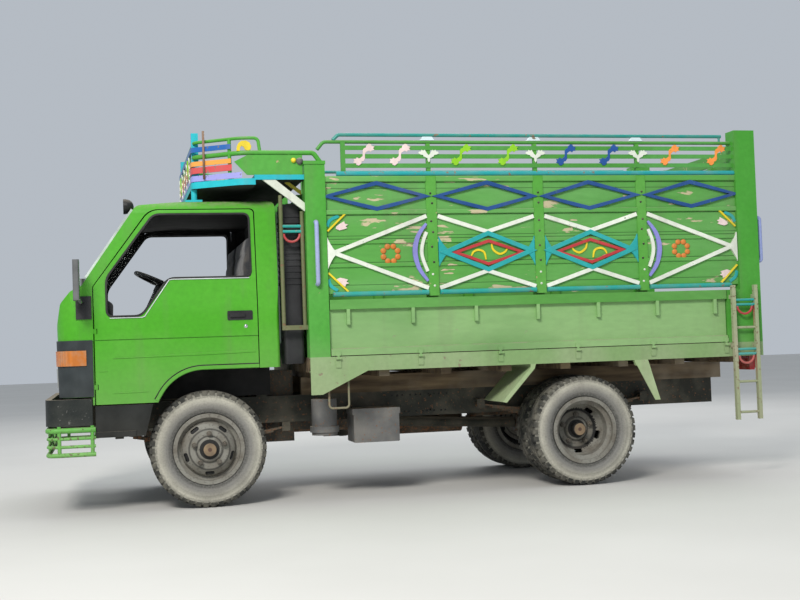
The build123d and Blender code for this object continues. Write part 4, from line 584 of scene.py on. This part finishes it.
# Mesh helpers
def between(a, b, share):
    """A point on the way from a to b."""
    return a[0] + (b[0] - a[0]) * share, a[1] + (b[1] - a[1]) * share


def circle(x, z, radius, count, shift=0.0):
    """Points around a place."""
    turns = [2 * math.pi * (k + shift) / count for k in range(count)]
    return [(x + radius * math.cos(turn), z + radius * math.sin(turn)) for turn in turns]


def band(a, b):
    """The faces between two closed rings of as many points."""
    count = len(a)
    return [(a[i], a[(i + 1) % count], b[(i + 1) % count], b[i]) for i in range(count)]


def smooth_line(points, steps=6):
    """Points on a smooth curve through the given ones."""
    padded = [points[0]] + points + [points[-1]]
    line = []
    for a, b, c, d in zip(padded, padded[1:], padded[2:], padded[3:]):
        for step in range(steps):
            t = step / steps
            line.append(tuple(
                0.5 * (2 * b[k] + (c[k] - a[k]) * t + (2 * a[k] - 5 * b[k] + 4 * c[k] - d[k]) * t * t
                       + (3 * b[k] - a[k] - 3 * c[k] + d[k]) * t ** 3) for k in (0, 1)))
    return line + [points[-1]]


def make_piece(name, mesh_data, material, slot, body="truck", smooth=False):
    """Turns vertices and faces into a piece that rides on a body."""
    bm = bmesh.new()
    corners = [bm.verts.new(v) for v in mesh_data[0]]
    for face in mesh_data[1]:
        bm.faces.new([corners[i] for i in face])
    bmesh.ops.recalc_face_normals(bm, faces=bm.faces)
    mesh = bpy.data.meshes.new(name)
    bm.to_mesh(mesh)
    bm.free()
    for polygon in mesh.polygons:
        polygon.use_smooth = smooth
    mesh.materials.append(material)
    piece = bpy.data.objects.new(name, mesh)
    bpy.context.scene.collection.objects.link(piece)
    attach(piece, body)
    return piece


class Relief:
    """Thin raised shapes, drawn in x and z in millimetres, that stand out in y."""

    chamfer = 1.2

    def __init__(self, ribbons=(), plates=(), domes=()):
        """Each shape is given as the values that its own method takes."""
        self.verts = []
        self.faces = []
        self.smooth = bool(domes)
        for draw, shapes in ((self.ribbon, ribbons), (self.plate, plates), (self.dome, domes)):
            for shape in shapes:
                draw(*shape)

    def ring(self, points, height):
        start = len(self.verts)
        self.verts += [(x, height, z) for x, z in points]
        return range(start, len(self.verts))

    def ribbon(self, points, width, thickness, closed=False):
        """A strip along a line. Width is one number, or one for each point."""
        count = len(points)
        widths = [width] * count if isinstance(width, (int, float)) else width
        sides = [[], []]
        for i, here in enumerate(points):
            spans = [(points[i - 1], here)] if i or closed else []
            if i < count - 1 or closed:
                spans.append((here, points[(i + 1) % count]))
            normals = [((a[1] - b[1]) / math.dist(a, b), (b[0] - a[0]) / math.dist(a, b)) for a, b in spans]
            mean = [sum(n[k] for n in normals) / len(normals) for k in (0, 1)]
            size = math.hypot(*mean)
            reach = widths[i] / 2 / max(size, 0.35)
            for side, sign in zip(sides, (1, -1)):
                side.append(tuple(here[k] + sign * mean[k] / size * reach for k in (0, 1)))
        layers = []
        for inset, height in ((0, 0), (0, thickness - self.chamfer), (self.chamfer, thickness)):
            shares = [min(0.45, inset / full) for full in widths]
            layers.append([self.ring([between(*ends) for ends in zip(near, far, shares)], height)
                           for near, far in (sides, sides[::-1])])
        rows = [layers[0][0], layers[1][0], layers[2][0], layers[2][1], layers[1][1], layers[0][1]]
        for i in range(count if closed else count - 1):
            j = (i + 1) % count
            for a, b in zip(rows, rows[1:]):
                self.faces.append((a[i], a[j], b[j], b[i]))
        if not closed:
            for end in (0, count - 1):
                self.faces.append(tuple(row[end] for row in rows))

    def plate(self, points, thickness):
        """A flat plate with a chamfered edge, cut to an outline."""
        count = len(points)
        area = sum(points[i - 1][0] * points[i][1] - points[i][0] * points[i - 1][1] for i in range(count))
        inner = []
        for i, (x, z) in enumerate(points):
            before, after = points[i - 1], points[(i + 1) % count]
            along = (after[0] - before[0], after[1] - before[1])
            length = math.hypot(*along) * (1 if area > 0 else -1)
            inner.append((x - along[1] / length * self.chamfer, z + along[0] / length * self.chamfer))
        edge = thickness - self.chamfer
        rows = [self.ring(points, 0), self.ring(points, edge), self.ring(inner, thickness)]
        for a, b in zip(rows, rows[1:]):
            self.faces += band(a, b)
        self.faces.append(tuple(rows[2]))

    def dome(self, x, z, radius, height, base, sides=12):
        """A round head, such as a rivet or bead. Its base is a little under the face."""
        rings = []
        for share, rise in ((1.0, 0.0), (0.94, 0.45), (0.68, 0.82), (0.34, 0.97)):
            rings.append(self.ring(circle(x, z, radius * share, sides), base + height * rise))
        for a, b in zip(rings, rings[1:]):
            self.faces += band(a, b)
        self.faces.append(tuple(rings[-1]))

    def laid(self, name, material, mapping, slot):
        """The shapes laid on a surface that mapping describes from x, height and z."""
        make_piece(name, ([mapping(*v) for v in self.verts], self.faces), material, slot)

    def copies(self, name, material, face_y, slot, mirror_x=None, bodies=("truck", "truck")):
        """The shapes on both sides of the truck, and mirrored along it where mirror_x is given. Face_y is a
        distance from the middle in metres, or a function of height that gives it in millimetres."""
        verts, faces = [], []
        reach = face_y if callable(face_y) else lambda z: face_y * 1000
        for flip in ([False] if mirror_x is None else [False, True]):
            start = len(verts)
            verts += [(2 * mirror_x - x if flip else x, y, z) for x, y, z in self.verts]
            faces += [tuple(start + i for i in face) for face in self.faces]
        for (side_name, side), body in zip(SIDES, bodies):
            placed = [place(x, side * (reach(z) + y), z) for x, y, z in verts]
            make_piece(f"{name}_{side_name}", (placed, faces), material, slot, body, self.smooth)


# Tyres: each replaces its plain CAD ring
LUG_FACES = ((1, 3, 5, 7), (0, 1, 7, 6), (2, 3, 1, 0), (4, 5, 3, 2), (6, 7, 5, 4))


def tyre_mesh(centre_x, centre_y):
    """Carcass, sidewall rings, lugs and zigzag ribs of one tyre, and how many faces its carcass has."""
    verts, faces = [], []

    def add(points):
        """Adds points given as distance from the axle, angle and sideways place, and gives their numbers."""
        start = len(verts)
        verts.extend((centre_x + r * math.cos(turn), centre_y + y, AXLE_Z + r * math.sin(turn))
                     for r, turn, y in points)
        return range(start, len(verts))

    def lug(turn, half, inner, outer, skew=0.0):
        """A block without a foot. Its inner and outer sides are given as y, top and foot."""
        corners = []
        for sign, (y, top, foot) in ((-1, inner), (1, inner), (1, outer), (-1, outer)):
            corner = turn + sign * half + (skew if y == outer[0] else 0.0)
            corners += [(foot, corner, y), (top, corner, y)]
        spots = add(corners)
        faces.extend(tuple(spots[i] for i in quad) for quad in LUG_FACES)

    steps, lugs, zigzag = 96, 46, 92
    crown, tread, wall = TYRE_RADIUS - 0.009, TYRE_RADIUS - 0.0004, TYRE_HALF - 0.0012
    profile = [(0.229, 0.068), (0.232, 0.077), (0.244, 0.0815), (0.252, 0.0815), (0.256, 0.085),
               (0.27, 0.0895), (0.294, wall), (0.302, wall), (0.304, TYRE_HALF - 0.003), (0.325, 0.0895),
               (0.336, 0.087), (0.345, 0.083), (crown - 0.006, 0.072), (crown, 0.052), (crown + 0.001, 0.0)]
    profile += [(r, -y) for r, y in reversed(profile[:-1])]
    rings = [add([(r, 2 * math.pi * k / steps, y) for r, y in profile]) for k in range(steps)]
    for a, b in zip(rings, rings[1:] + rings[:1]):
        faces += band(a, b)
    side_faces = len(faces)
    for k in range(lugs):
        for side in (-1, 1):
            turn = 2 * math.pi * (k + (0.5 if side > 0 else 0.0)) / lugs
            skew = side * 0.012
            shoulder, top = side * 0.0745, TYRE_RADIUS - 0.004
            lug(turn, 0.047, (side * 0.044, TYRE_RADIUS - 0.0012, crown - 0.004),
                (shoulder, top, crown - 0.012), skew)
            lug(turn + skew, 0.045, (shoulder, top, 0.352), (side * 0.0905, 0.343, 0.334))
    rib = ((crown - 0.002, -0.012), (tread, -0.0105), (tread, 0.0105), (crown - 0.002, 0.012))
    for rib_y in (-0.021, 0.021):
        rows = []
        for k in range(zigzag):
            wave = rib_y + 0.0045 * (1 if k % 2 else -1)
            rows.append(add([(r, 2 * math.pi * k / zigzag, wave + y) for r, y in rib]))
        for a, b in zip(rows, rows[1:] + rows[:1]):
            faces += band(a, b)[:3]
    return verts, faces, side_faces


def build_tyres(name, body, node, centre_x, centres_y):
    """One piece for a tyre or a pair of twin tyres."""
    verts, faces, wall = [], [], set()
    for centre_y in centres_y:
        part_verts, part_faces, side_faces = tyre_mesh(centre_x, centre_y)
        start = len(verts)
        wall |= set(range(len(faces), len(faces) + side_faces))
        verts += part_verts
        faces += [tuple(start + i for i in face) for face in part_faces]
    piece = make_piece(name, (verts, faces), looks["rubber"], "tyre", body)
    piece.data.materials.append(looks["tread"])
    for index, polygon in enumerate(piece.data.polygons):
        r = math.hypot(polygon.center.x - centre_x, polygon.center.z - AXLE_Z)
        polygon.use_smooth = index in wall
        polygon.material_index = 1 if r > TYRE_RADIUS - 0.02 else 0
    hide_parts(node)


for side_name, side in SIDES:
    build_tyres(f"front_tyre_{side_name}", f"wheel_front_{side_name}", f"tyre_front_{side_name}", AXLE_X,
                [side * FRONT_TRACK])
    build_tyres(f"rear_tyres_{side_name}", f"wheels_rear_{side_name}", f"tyres_rear_{side_name}", REAR_X,
                [side * TWIN_OUTER, side * TWIN_INNER])

# Ornaments of the side panels, drawn for the front half and mirrored about the middle post


def enamel(name, colour):
    """Bright paint of the ornaments, over the green of the boards."""
    return worn_paint(name, colour, tuple(c * 1.2 + 0.015 for c in colour), (0.13, 0.3, 0.1), 0.68,
                      flakes=60, dents=0.0015)


def fan(x_base, x_waist, z_low, z_high):
    """Outline of a half bow tie: a long edge at x_base that narrows in hollow curves to a waist."""
    z_mid = (z_low + z_high) / 2
    neck, hollow, steps = 13, 1.4, 7
    flare = z_high - z_mid - neck
    shares = [k / steps for k in range(steps + 1)]
    upper = [(x_base + (x_waist - x_base) * t, z_mid + neck + flare * (1 - t) ** hollow) for t in shares]
    return upper + [(x, 2 * z_mid - z) for x, z in reversed(upper)]


def swell(end, more):
    """Widths of a strip of 17 points that is widest in its middle."""
    return [end + more * math.sin(math.pi * k / 16) for k in range(17)]


def on_panels(name, shade, colour, slot, ribbons=(), plates=(), domes=()):
    """An ornament on all four halves of the side panels."""
    Relief(ribbons, plates, domes).copies(name, enamel(f"{shade}_enamel", colour), BOARD_Y, slot, MIDDLE_X)


on_panels("blue_diamonds", "blue", BLUE, "slat_paint", [
    ([(789, 1981), (1126, 2066), (1454, 1978), (1123, 1896)], 27, 19, True),
    ([(1535, 1978), (1882, 2067), (2203, 1974), (1879, 1889)], 27, 19, True)])
on_panels("white_rays", "white", WHITE, "pale_paint", [
    ([(1456, 1846), (828, 1612), (1456, 1369)], 27, 17),
    ([(1535, 1845), (1873, 1737), (2203, 1838)], 27, 17),
    ([(1535, 1368), (1868, 1476), (2203, 1365)], 27, 17),
    (smooth_line([(1454, 1739), (1429, 1679), (1417, 1610), (1427, 1550), (1454, 1480)]), 22, 17)],
          [(fan(786, 842, 1508, 1712), 19)])
on_panels("teal_shapes", "teal", (0.02, 0.36, 0.36), "teal", [
    ([(1578, 1603), (1878, 1727), (2180, 1607), (1873, 1484)], 30, 19, True),
    (smooth_line([(790, 1785), (812, 1826), (868, 1853)]), 22, 6),
    (smooth_line([(790, 1440), (803, 1399), (848, 1366)]), 22, 6)],
          [(fan(1534, 1600, 1512, 1710), 15), (fan(2204, 2150, 1508, 1706), 15)])
on_panels("red_diamonds", "red", RED, "slat_paint", [
    ([(1650, 1602), (1881, 1675), (2118, 1596), (1875, 1521)], 21, 15, True)])
on_panels("yellow_scrolls", "yellow", YELLOW, "pale_paint", [
    (smooth_line([(1760, 1576), (1776, 1604), (1810, 1616), (1849, 1600), (1861, 1551)], 4), swell(9, 6), 7),
    (smooth_line([(1903, 1656), (1913, 1616), (1956, 1587), (1995, 1600), (2013, 1624)], 4), swell(9, 6), 7),
    ([(791, 1753), (920, 1875)], 12, 14),
    ([(789, 1481), (916, 1358)], 12, 14)])
on_panels("violet_crescents", "violet", VIOLET, "slat_paint", [
    (smooth_line([(1454, 1795), (1397, 1717), (1372, 1616), (1394, 1505), (1454, 1416)], 4),
     swell(16, 16), 17)])


def moved(points, x, z, flip=1):
    """An outline at a place, upside down where flip is -1."""
    return [(x + dx, z + flip * dz) for dx, dz in points]


tulip = [(0, -6), (26, -16), (52, -10), (78, -2), (66, 10), (84, 22), (62, 28), (58, 44), (40, 34), (22, 24),
         (4, 10)]
on_panels("tulip_leaves", "pink", PINK, "pale_paint",
          plates=[(moved(tulip, 846, 1774), 9), (moved(tulip, 840, 1434, -1), 9)])
on_panels("flower_beads", "orange", (0.62, 0.2, 0.035), "slat_paint",
          domes=[(x, z, 20, 11, -0.5) for x, z in circle(1208, 1600, 52, 8, 0.5)])

for group, look, slot, heights in (("high", "iron", "chassis_black", (1999, 1925, 1818, 1736, 1639, 1547)),
                                   ("low", "white", "pale_paint", (1461, 1378))):
    heads = [(x + 5 * math.sin(3.1 * number + x), z + 7 * math.sin(2.3 * number + x / 7), 8, 4, -0.3, 10)
             for x in POSTS_X for number, z in enumerate(heights)]
    Relief(domes=heads).copies(f"post_rivets_{group}", looks[look], POST_Y, slot)

# Ornaments of the rack: S-shaped pairs of leaves between the posts, and two-leaved sprigs over them
LEAF_Z = 2258
SPRIG_Z = 2248
half_leaf = [(-7, 6), (-7, 28), (3, 43), (15, 46), (19, 60), (36, 73), (51, 69), (54, 59), (74, 53), (64, 42),
             (72, 29), (54, 28), (47, 18), (33, 26), (21, 20), (8, 8)]
double_leaf = half_leaf + [(-x, -z) for x, z in half_leaf]
for shade, colour, centres in (("pink", PINK, (1054, 1298)), ("lime", LEAF_LIME, (1718, 2048)),
                               ("blue", (0.02, 0.09, 0.33), (2463, 2777)), ("orange", ORANGE, (3232, 3583))):
    pairs = Relief(plates=[(moved(double_leaf, x, LEAF_Z), 6) for x in centres])
    pairs.copies(f"rack_{shade}_leaves", enamel(f"rack_{shade}", colour), RACK_Y, "pale_paint")
half_sprig = [(7, -32), (9, -14), (22, -8), (34, -2), (38, 8), (54, 10), (70, 18), (66, 30), (52, 32),
              (48, 44), (34, 36), (26, 44), (18, 30), (12, 20), (0, 6)]
sprig = [(0, -42)] + half_sprig + [(-x, z) for x, z in reversed(half_sprig[:-1])]
sprigs = Relief(plates=[(moved(sprig, x, SPRIG_Z), 7) for x in POSTS_X])
sprigs.copies("rack_sprigs", enamel("rack_white", WHITE), RACK_Y, "pale_paint")

# Cab: seals, a painted sheen under the windows, creases, arch lips with painted shade strips, locks, painted
# shade strips in the grille, and wipers


def cab_side(z):
    """Half width of the cab's outside at a height, in millimetres."""
    half_width, belt, lean, bend = 845, 1250, 0.1099, 49
    if z < belt - bend:
        return half_width
    if z > belt + bend:
        return half_width - (z - belt) * lean
    return half_width - (z - belt + bend) ** 2 / (4 * bend) * lean


def rounded(corners, radius):
    """A closed line whose corners are rounded off."""
    steps = 5
    line = []
    for i, here in enumerate(corners):
        ends = []
        for other in (corners[i - 1], corners[(i + 1) % len(corners)]):
            ends.append(between(here, other, min(0.45, radius / math.dist(here, other))))
        for k in range(steps + 1):
            t = k / steps
            parts = ((1 - t) ** 2, ends[0]), (2 * t * (1 - t), here), (t * t, ends[1])
            line.append(tuple(sum(share * point[a] for share, point in parts) for a in (0, 1)))
    return line


ARCH_X, ARCH_Z, ARCH_RADIUS = -28, 585, 300
ARCH_FOOT = (-311, 696)
DOOR_REAR = 330


def over_arch(out):
    """A line that follows the wheel arch's edge at a distance outside it, back to the door's rear."""
    turns = [math.radians(150 - 6 * k) for k in range(11)]
    radius = ARCH_RADIUS + out
    arc = [(ARCH_X + radius * math.cos(turn), ARCH_Z + radius * math.sin(turn)) for turn in turns]
    return [(ARCH_FOOT[0] - 0.865 * out, ARCH_FOOT[1] + 0.501 * out)] + arc + [(DOOR_REAR, ARCH_Z + radius)]


def on_doors(name, look, slot, ribbons=(), domes=()):
    """Strips and heads on both doors, swinging with them."""
    Relief(ribbons, (), domes).copies(name, looks[look], cab_side, slot, bodies=("door_left", "door_right"))


window = [(-618, 1240), (-405, 1240), (-231, 1476), (297, 1476), (297, 1890), (-314, 1890), (-618, 1482)]
window_foot = [(-600, 1230), (-402, 1230), (-384, 1236), (-226, 1464), (-205, 1468), (285, 1468)]
on_doors("window_seals", "seal", "black_plastic", [(rounded(window, 42), 13, 5, True)])
# Painted sheen: a pale strip along the foot of each window, for the light on its edge.
on_doors("window_sill_sheen", "pale_seal_and_sheen", "pale_paint", [(window_foot, 6, 6)])
on_doors("door_creases", "lime", "lime", [([(-587, 976), (0, 988), (310, 995)], [3, 16, 16], 4),
                                          ([(-676, 898), (-650, 898), (-620, 897)], [2, 8, 3], 3),
                                          ([(-590, 757), (-450, 762), (-374, 760)], [3, 12, 3], 3)])
on_doors("arch_lips", "lime", "lime", [(over_arch(14), 22, 5)])
# Painted shade: a black strip beside the lip, for the shade in the groove along the arch.
on_doors("arch_gap_shadows", "seal", "black_plastic", [(over_arch(29), 7, 2)])
on_doors("door_locks", "mirror_glass", "wheel_grey", domes=[(252, 1155, 13, 5, -0.3, 16)])
drop_lines = Relief([([(800, 1160), (3600, 1160)], 7, 3)])
drop_lines.copies("drop_side_lines", looks["splash"], DROP_FACE_Y, "faded_green",
                  bodies=("drop_side_left", "drop_side_right"))

screen_foot, screen_top = (-768, 1440), (-418, 1952)
screen_length = math.dist(screen_foot, screen_top)
screen_run = (screen_top[0] - screen_foot[0]) / screen_length
screen_rise = (screen_top[1] - screen_foot[1]) / screen_length
GRILLE_FOOT = (-909, 740)
GRILLE_LEAN = 14 / 450
GRILLE_SLOTS = [839 + 51 * k for k in range(5)]
NOSE_X = -60


def on_screen(y, height, up):
    """A point on the windscreen, from its distance up the glass, right of the middle and out of it."""
    return place(screen_foot[0] + up * screen_run - height * screen_rise, y,
                 screen_foot[1] + up * screen_rise + height * screen_run)


def up_screen(z):
    """How far up the glass a height lies."""
    return (z - screen_foot[1]) / screen_rise


def on_grille(y, height, z):
    """A point in the grille's slots, against the cab's leaning front."""
    return place(GRILLE_FOOT[0] - (z - GRILLE_FOOT[1]) * GRILLE_LEAN - height, y, z)


def on_nose(y, height, z):
    """A point on the carrier's front slats."""
    return place(NOSE_X - height, y, z)


corners = [(y, up_screen(z)) for y, z in ((-750, 1500), (750, 1500), (690, 1905), (-690, 1905))]
Relief([(rounded(corners, 60), 30, 7, True)]).laid("screen_seal", looks["seal"], on_screen, "black_plastic")
strips = [([(side * 764, up_screen(1486)), (side * 702, up_screen(1925))], 16, 16) for side in (-1, 1)]
Relief(strips).laid("screen_strips", looks["pale_seal_and_sheen"], on_screen, "pale_paint")
# Painted shade: near-black strips in the grille's slots, for the dark behind them.
shades = [([(-500, z), (500, z)], 23.6, 6) for z in GRILLE_SLOTS]
Relief(shades).laid("grille_shades", looks["liner"], on_grille, "black_plastic")
wipers = []
for y in (-520, 60):
    wipers += [([(y, up_screen(1470)), (y + 210, up_screen(1530))], [16, 9], 16),
               ([(y - 40, up_screen(1522)), (y + 430, up_screen(1530))], 9, 13)]
Relief(wipers).laid("wipers", looks["black"], on_screen, "black_plastic")

# Ornaments of the carrier and the column
curl = [(222, 2284), (224, 2312), (236, 2336), (256, 2350), (284, 2352), (308, 2338), (318, 2314),
        (312, 2292), (296, 2284), (276, 2292), (268, 2310), (254, 2316), (244, 2304), (244, 2284)]
curls = Relief(plates=[(curl, 8)])
curls.copies("carrier_curls", enamel("carrier_yellow", YELLOW), CARRIER_FACE_Y, "pale_paint")
for name, slot, look, dome in (
        ("cases", "wheel_grey", looks["box"], (626, 2214, 24, 26, -0.5, 16)),
        ("bulbs", "amber", enamel("lamp_yellow", YELLOW), (586, 2220, 17, 22, -0.5, 14))):
    Relief(domes=[dome]).copies(f"side_lamp_{name}", look, COLUMN_FACE_Y, slot)
leaves = [(moved(double_leaf, y, 2222), 6) for y in (-420, 420)]
Relief(plates=leaves).laid("nose_leaves", enamel("nose_lime", LEAF_LIME), on_nose, "pale_paint")
waves = []
for y in (-560, -260, 0, 260, 560):
    wave = [(y + 14 * (1 if k % 2 else -1), 2116 + 24 * k) for k in range(8)]
    waves.append((smooth_line(wave, 4), 11, 7))
Relief(waves).laid("nose_waves", enamel("nose_white", WHITE), on_nose, "pale_paint")


def rod(x, y, z_low, z_high, radius):
    """An upright round rod."""
    ends = range(10), range(10, 20)
    verts = [place(*point, z) for z in (z_low, z_high) for point in circle(x, y, radius, 10)]
    return verts, band(*ends) + [tuple(end) for end in ends]


for side_name, side in SIDES:
    upright = rod(20, side * 753, 2118, 2432, 8)
    make_piece(f"corner_rod_{side_name}", upright, looks["rod"], "spring_steel", smooth=True)

# Rubber strips inside the door openings, and rivets along the webs of the chassis rails
STRIP_DEPTH = 48.5
door_strip = Relief([([(-706, 1431), (-334, 1927), (340, 1927), (340, 900)], 34, 3)])
door_strip.copies("door_strips", looks["seal"], lambda z: cab_side(z) - STRIP_DEPTH, "black_plastic")
heads = [(1300 + 44 * k + 8 * math.sin(2.1 * k + z), z, 7, 3, -0.3, 8) for k in range(10) for z in (532, 648)]
Relief(domes=heads).copies("rail_rivets", looks["liner"], RAIL_WEB_Y, "chassis_black")

# Seats
seat_low, seat_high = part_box("seats")


def cushion(centre, size, lean, channels):
    """A crowned pad whose sides pull in between its corners, with sewn channels across its top."""
    steps = 28
    verts, faces = [], []
    for layer in (1, -1):
        for i in range(steps + 1):
            for j in range(steps + 1):
                u, v = 2 * i / steps - 1, 2 * j / steps - 1
                edge = ((1 - abs(u) ** 5) * (1 - abs(v) ** 5)) ** 0.4
                sew = sum(math.exp(-((u - c) / 0.045) ** 2) for c in channels) * 0.22 if layer > 0 else 0.0
                x = u * size[0] / 2 * (1 - 0.03 * (1 - v * v))
                y = v * size[1] / 2 * (1 - 0.02 * (1 - u * u))
                crown = 0.55 + 0.45 * edge * (1.0 - 0.35 * (u * u + v * v) / 2)
                z = layer * size[2] / 2 * crown * (1 - sew * edge)
                if max(abs(u), abs(v)) > 0.999:
                    z *= 0.45
                verts.append((x, y, z))
    side = steps + 1
    grid = side * side
    for layer in range(2):
        for i in range(steps):
            for j in range(steps):
                a = layer * grid + i * side + j
                faces.append((a, a + 1, a + side + 1, a + side))
    rim = [i * side for i in range(steps)] + [steps * side + j for j in range(steps)]
    rim += [i * side + steps for i in range(steps, 0, -1)] + list(range(steps, 0, -1))
    faces += band(rim, [grid + spot for spot in rim])
    turn = Matrix.Rotation(lean, 4, "Y")
    return [Vector(centre) + turn @ Vector(v) for v in verts], faces


SEAT_SPANS = ((-690, 30), (110, 690))
pad_verts, pad_faces = [], []
for y_low, y_high in SEAT_SPANS:
    y = (y_low + y_high) / 2000
    width = (y_high - y_low) / 1000
    for centre, size, lean, channels in (
            ((seat_low.x + 0.235, y, 1.196), (0.48, width, 0.15), -0.06, (-0.5, 0.05, 0.6)),
            ((seat_high.x - 0.085, y, 1.48), (0.54, width, 0.12), math.radians(-85), (-0.35, 0.1, 0.55))):
        verts, faces = cushion(centre, size, lean, channels)
        pad_faces += [tuple(len(pad_verts) + i for i in face) for face in faces]
        pad_verts += verts
seat_pads = make_piece("seat_pads", (pad_verts, pad_faces), looks["seat"], "cloth", smooth=True)
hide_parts("seats")

# Floor, light and camera
bpy.ops.mesh.primitive_plane_add(size=80, location=(0, 0, -0.001))
ground = bpy.context.object
ground.name = "studio_floor"
floor_paint = Paint("studio_floor")
cloud = floor_paint.ramp(floor_paint.noise(0.6, 3), 0.3, 0.7)
floor_paint.tone = floor_paint.mix(cloud, (0.6, 0.59, 0.56), (0.64, 0.63, 0.6))
ground.data.materials.append(floor_paint.finish(0.85))

world = bpy.data.worlds.new("studio")
bpy.context.scene.world = world
world.use_nodes = True
background = world.node_tree.nodes["Background"]
background.inputs["Color"].default_value = (0.84, 0.91, 1.0, 1)
background.inputs["Strength"].default_value = 0.55
for name, location, target, size, watts, colour in (
        ("key", (-5, -9, 8), (0, 0, 1), (3.5, 2.5), 1150, (1.0, 0.97, 0.92)),
        ("top", (1, 1, 9), (0, 0, 0), (9, 6), 260, (1, 1, 1)),
        ("back", (3, 9, 6), (0, 0, 1), (7, 5), 240, (1, 1, 1))):
    lamp = bpy.data.lights.new(name, "AREA")
    lamp.shape = "RECTANGLE"
    lamp.size, lamp.size_y = size
    lamp.energy = watts
    lamp.color = colour
    holder = bpy.data.objects.new(name, lamp)
    bpy.context.scene.collection.objects.link(holder)
    holder.location = location
    holder.rotation_mode = "QUATERNION"
    holder.rotation_quaternion = (Vector(target) - Vector(location)).to_track_quat("-Z", "Y")
bpy.context.scene.view_settings.view_transform = "Standard"

PHOTO_WIDTH = 800
FOCAL_PIXELS = 1238.45
SENSOR = 36.0
CAMERA_PLACE = (-588.9, -8830.9, 1002.5)
yaw, pitch, roll = (math.radians(a) for a in (-13.1369, 2.0567, 1.9761))
camera_data = bpy.data.cameras.new("camera")
camera_data.sensor_width = SENSOR
camera_data.lens = FOCAL_PIXELS / PHOTO_WIDTH * SENSOR
camera = bpy.data.objects.new("camera", camera_data)
bpy.context.scene.collection.objects.link(camera)
turned = (Matrix.Rotation(yaw, 4, "Z") @ Matrix.Rotation(pitch, 4, "X") @ Matrix.Rotation(roll, 4, "Y")
          @ Matrix.Rotation(math.radians(90), 4, "X"))
camera.matrix_world = Matrix.Translation(place(*CAMERA_PLACE)) @ turned
bpy.context.scene.camera = camera
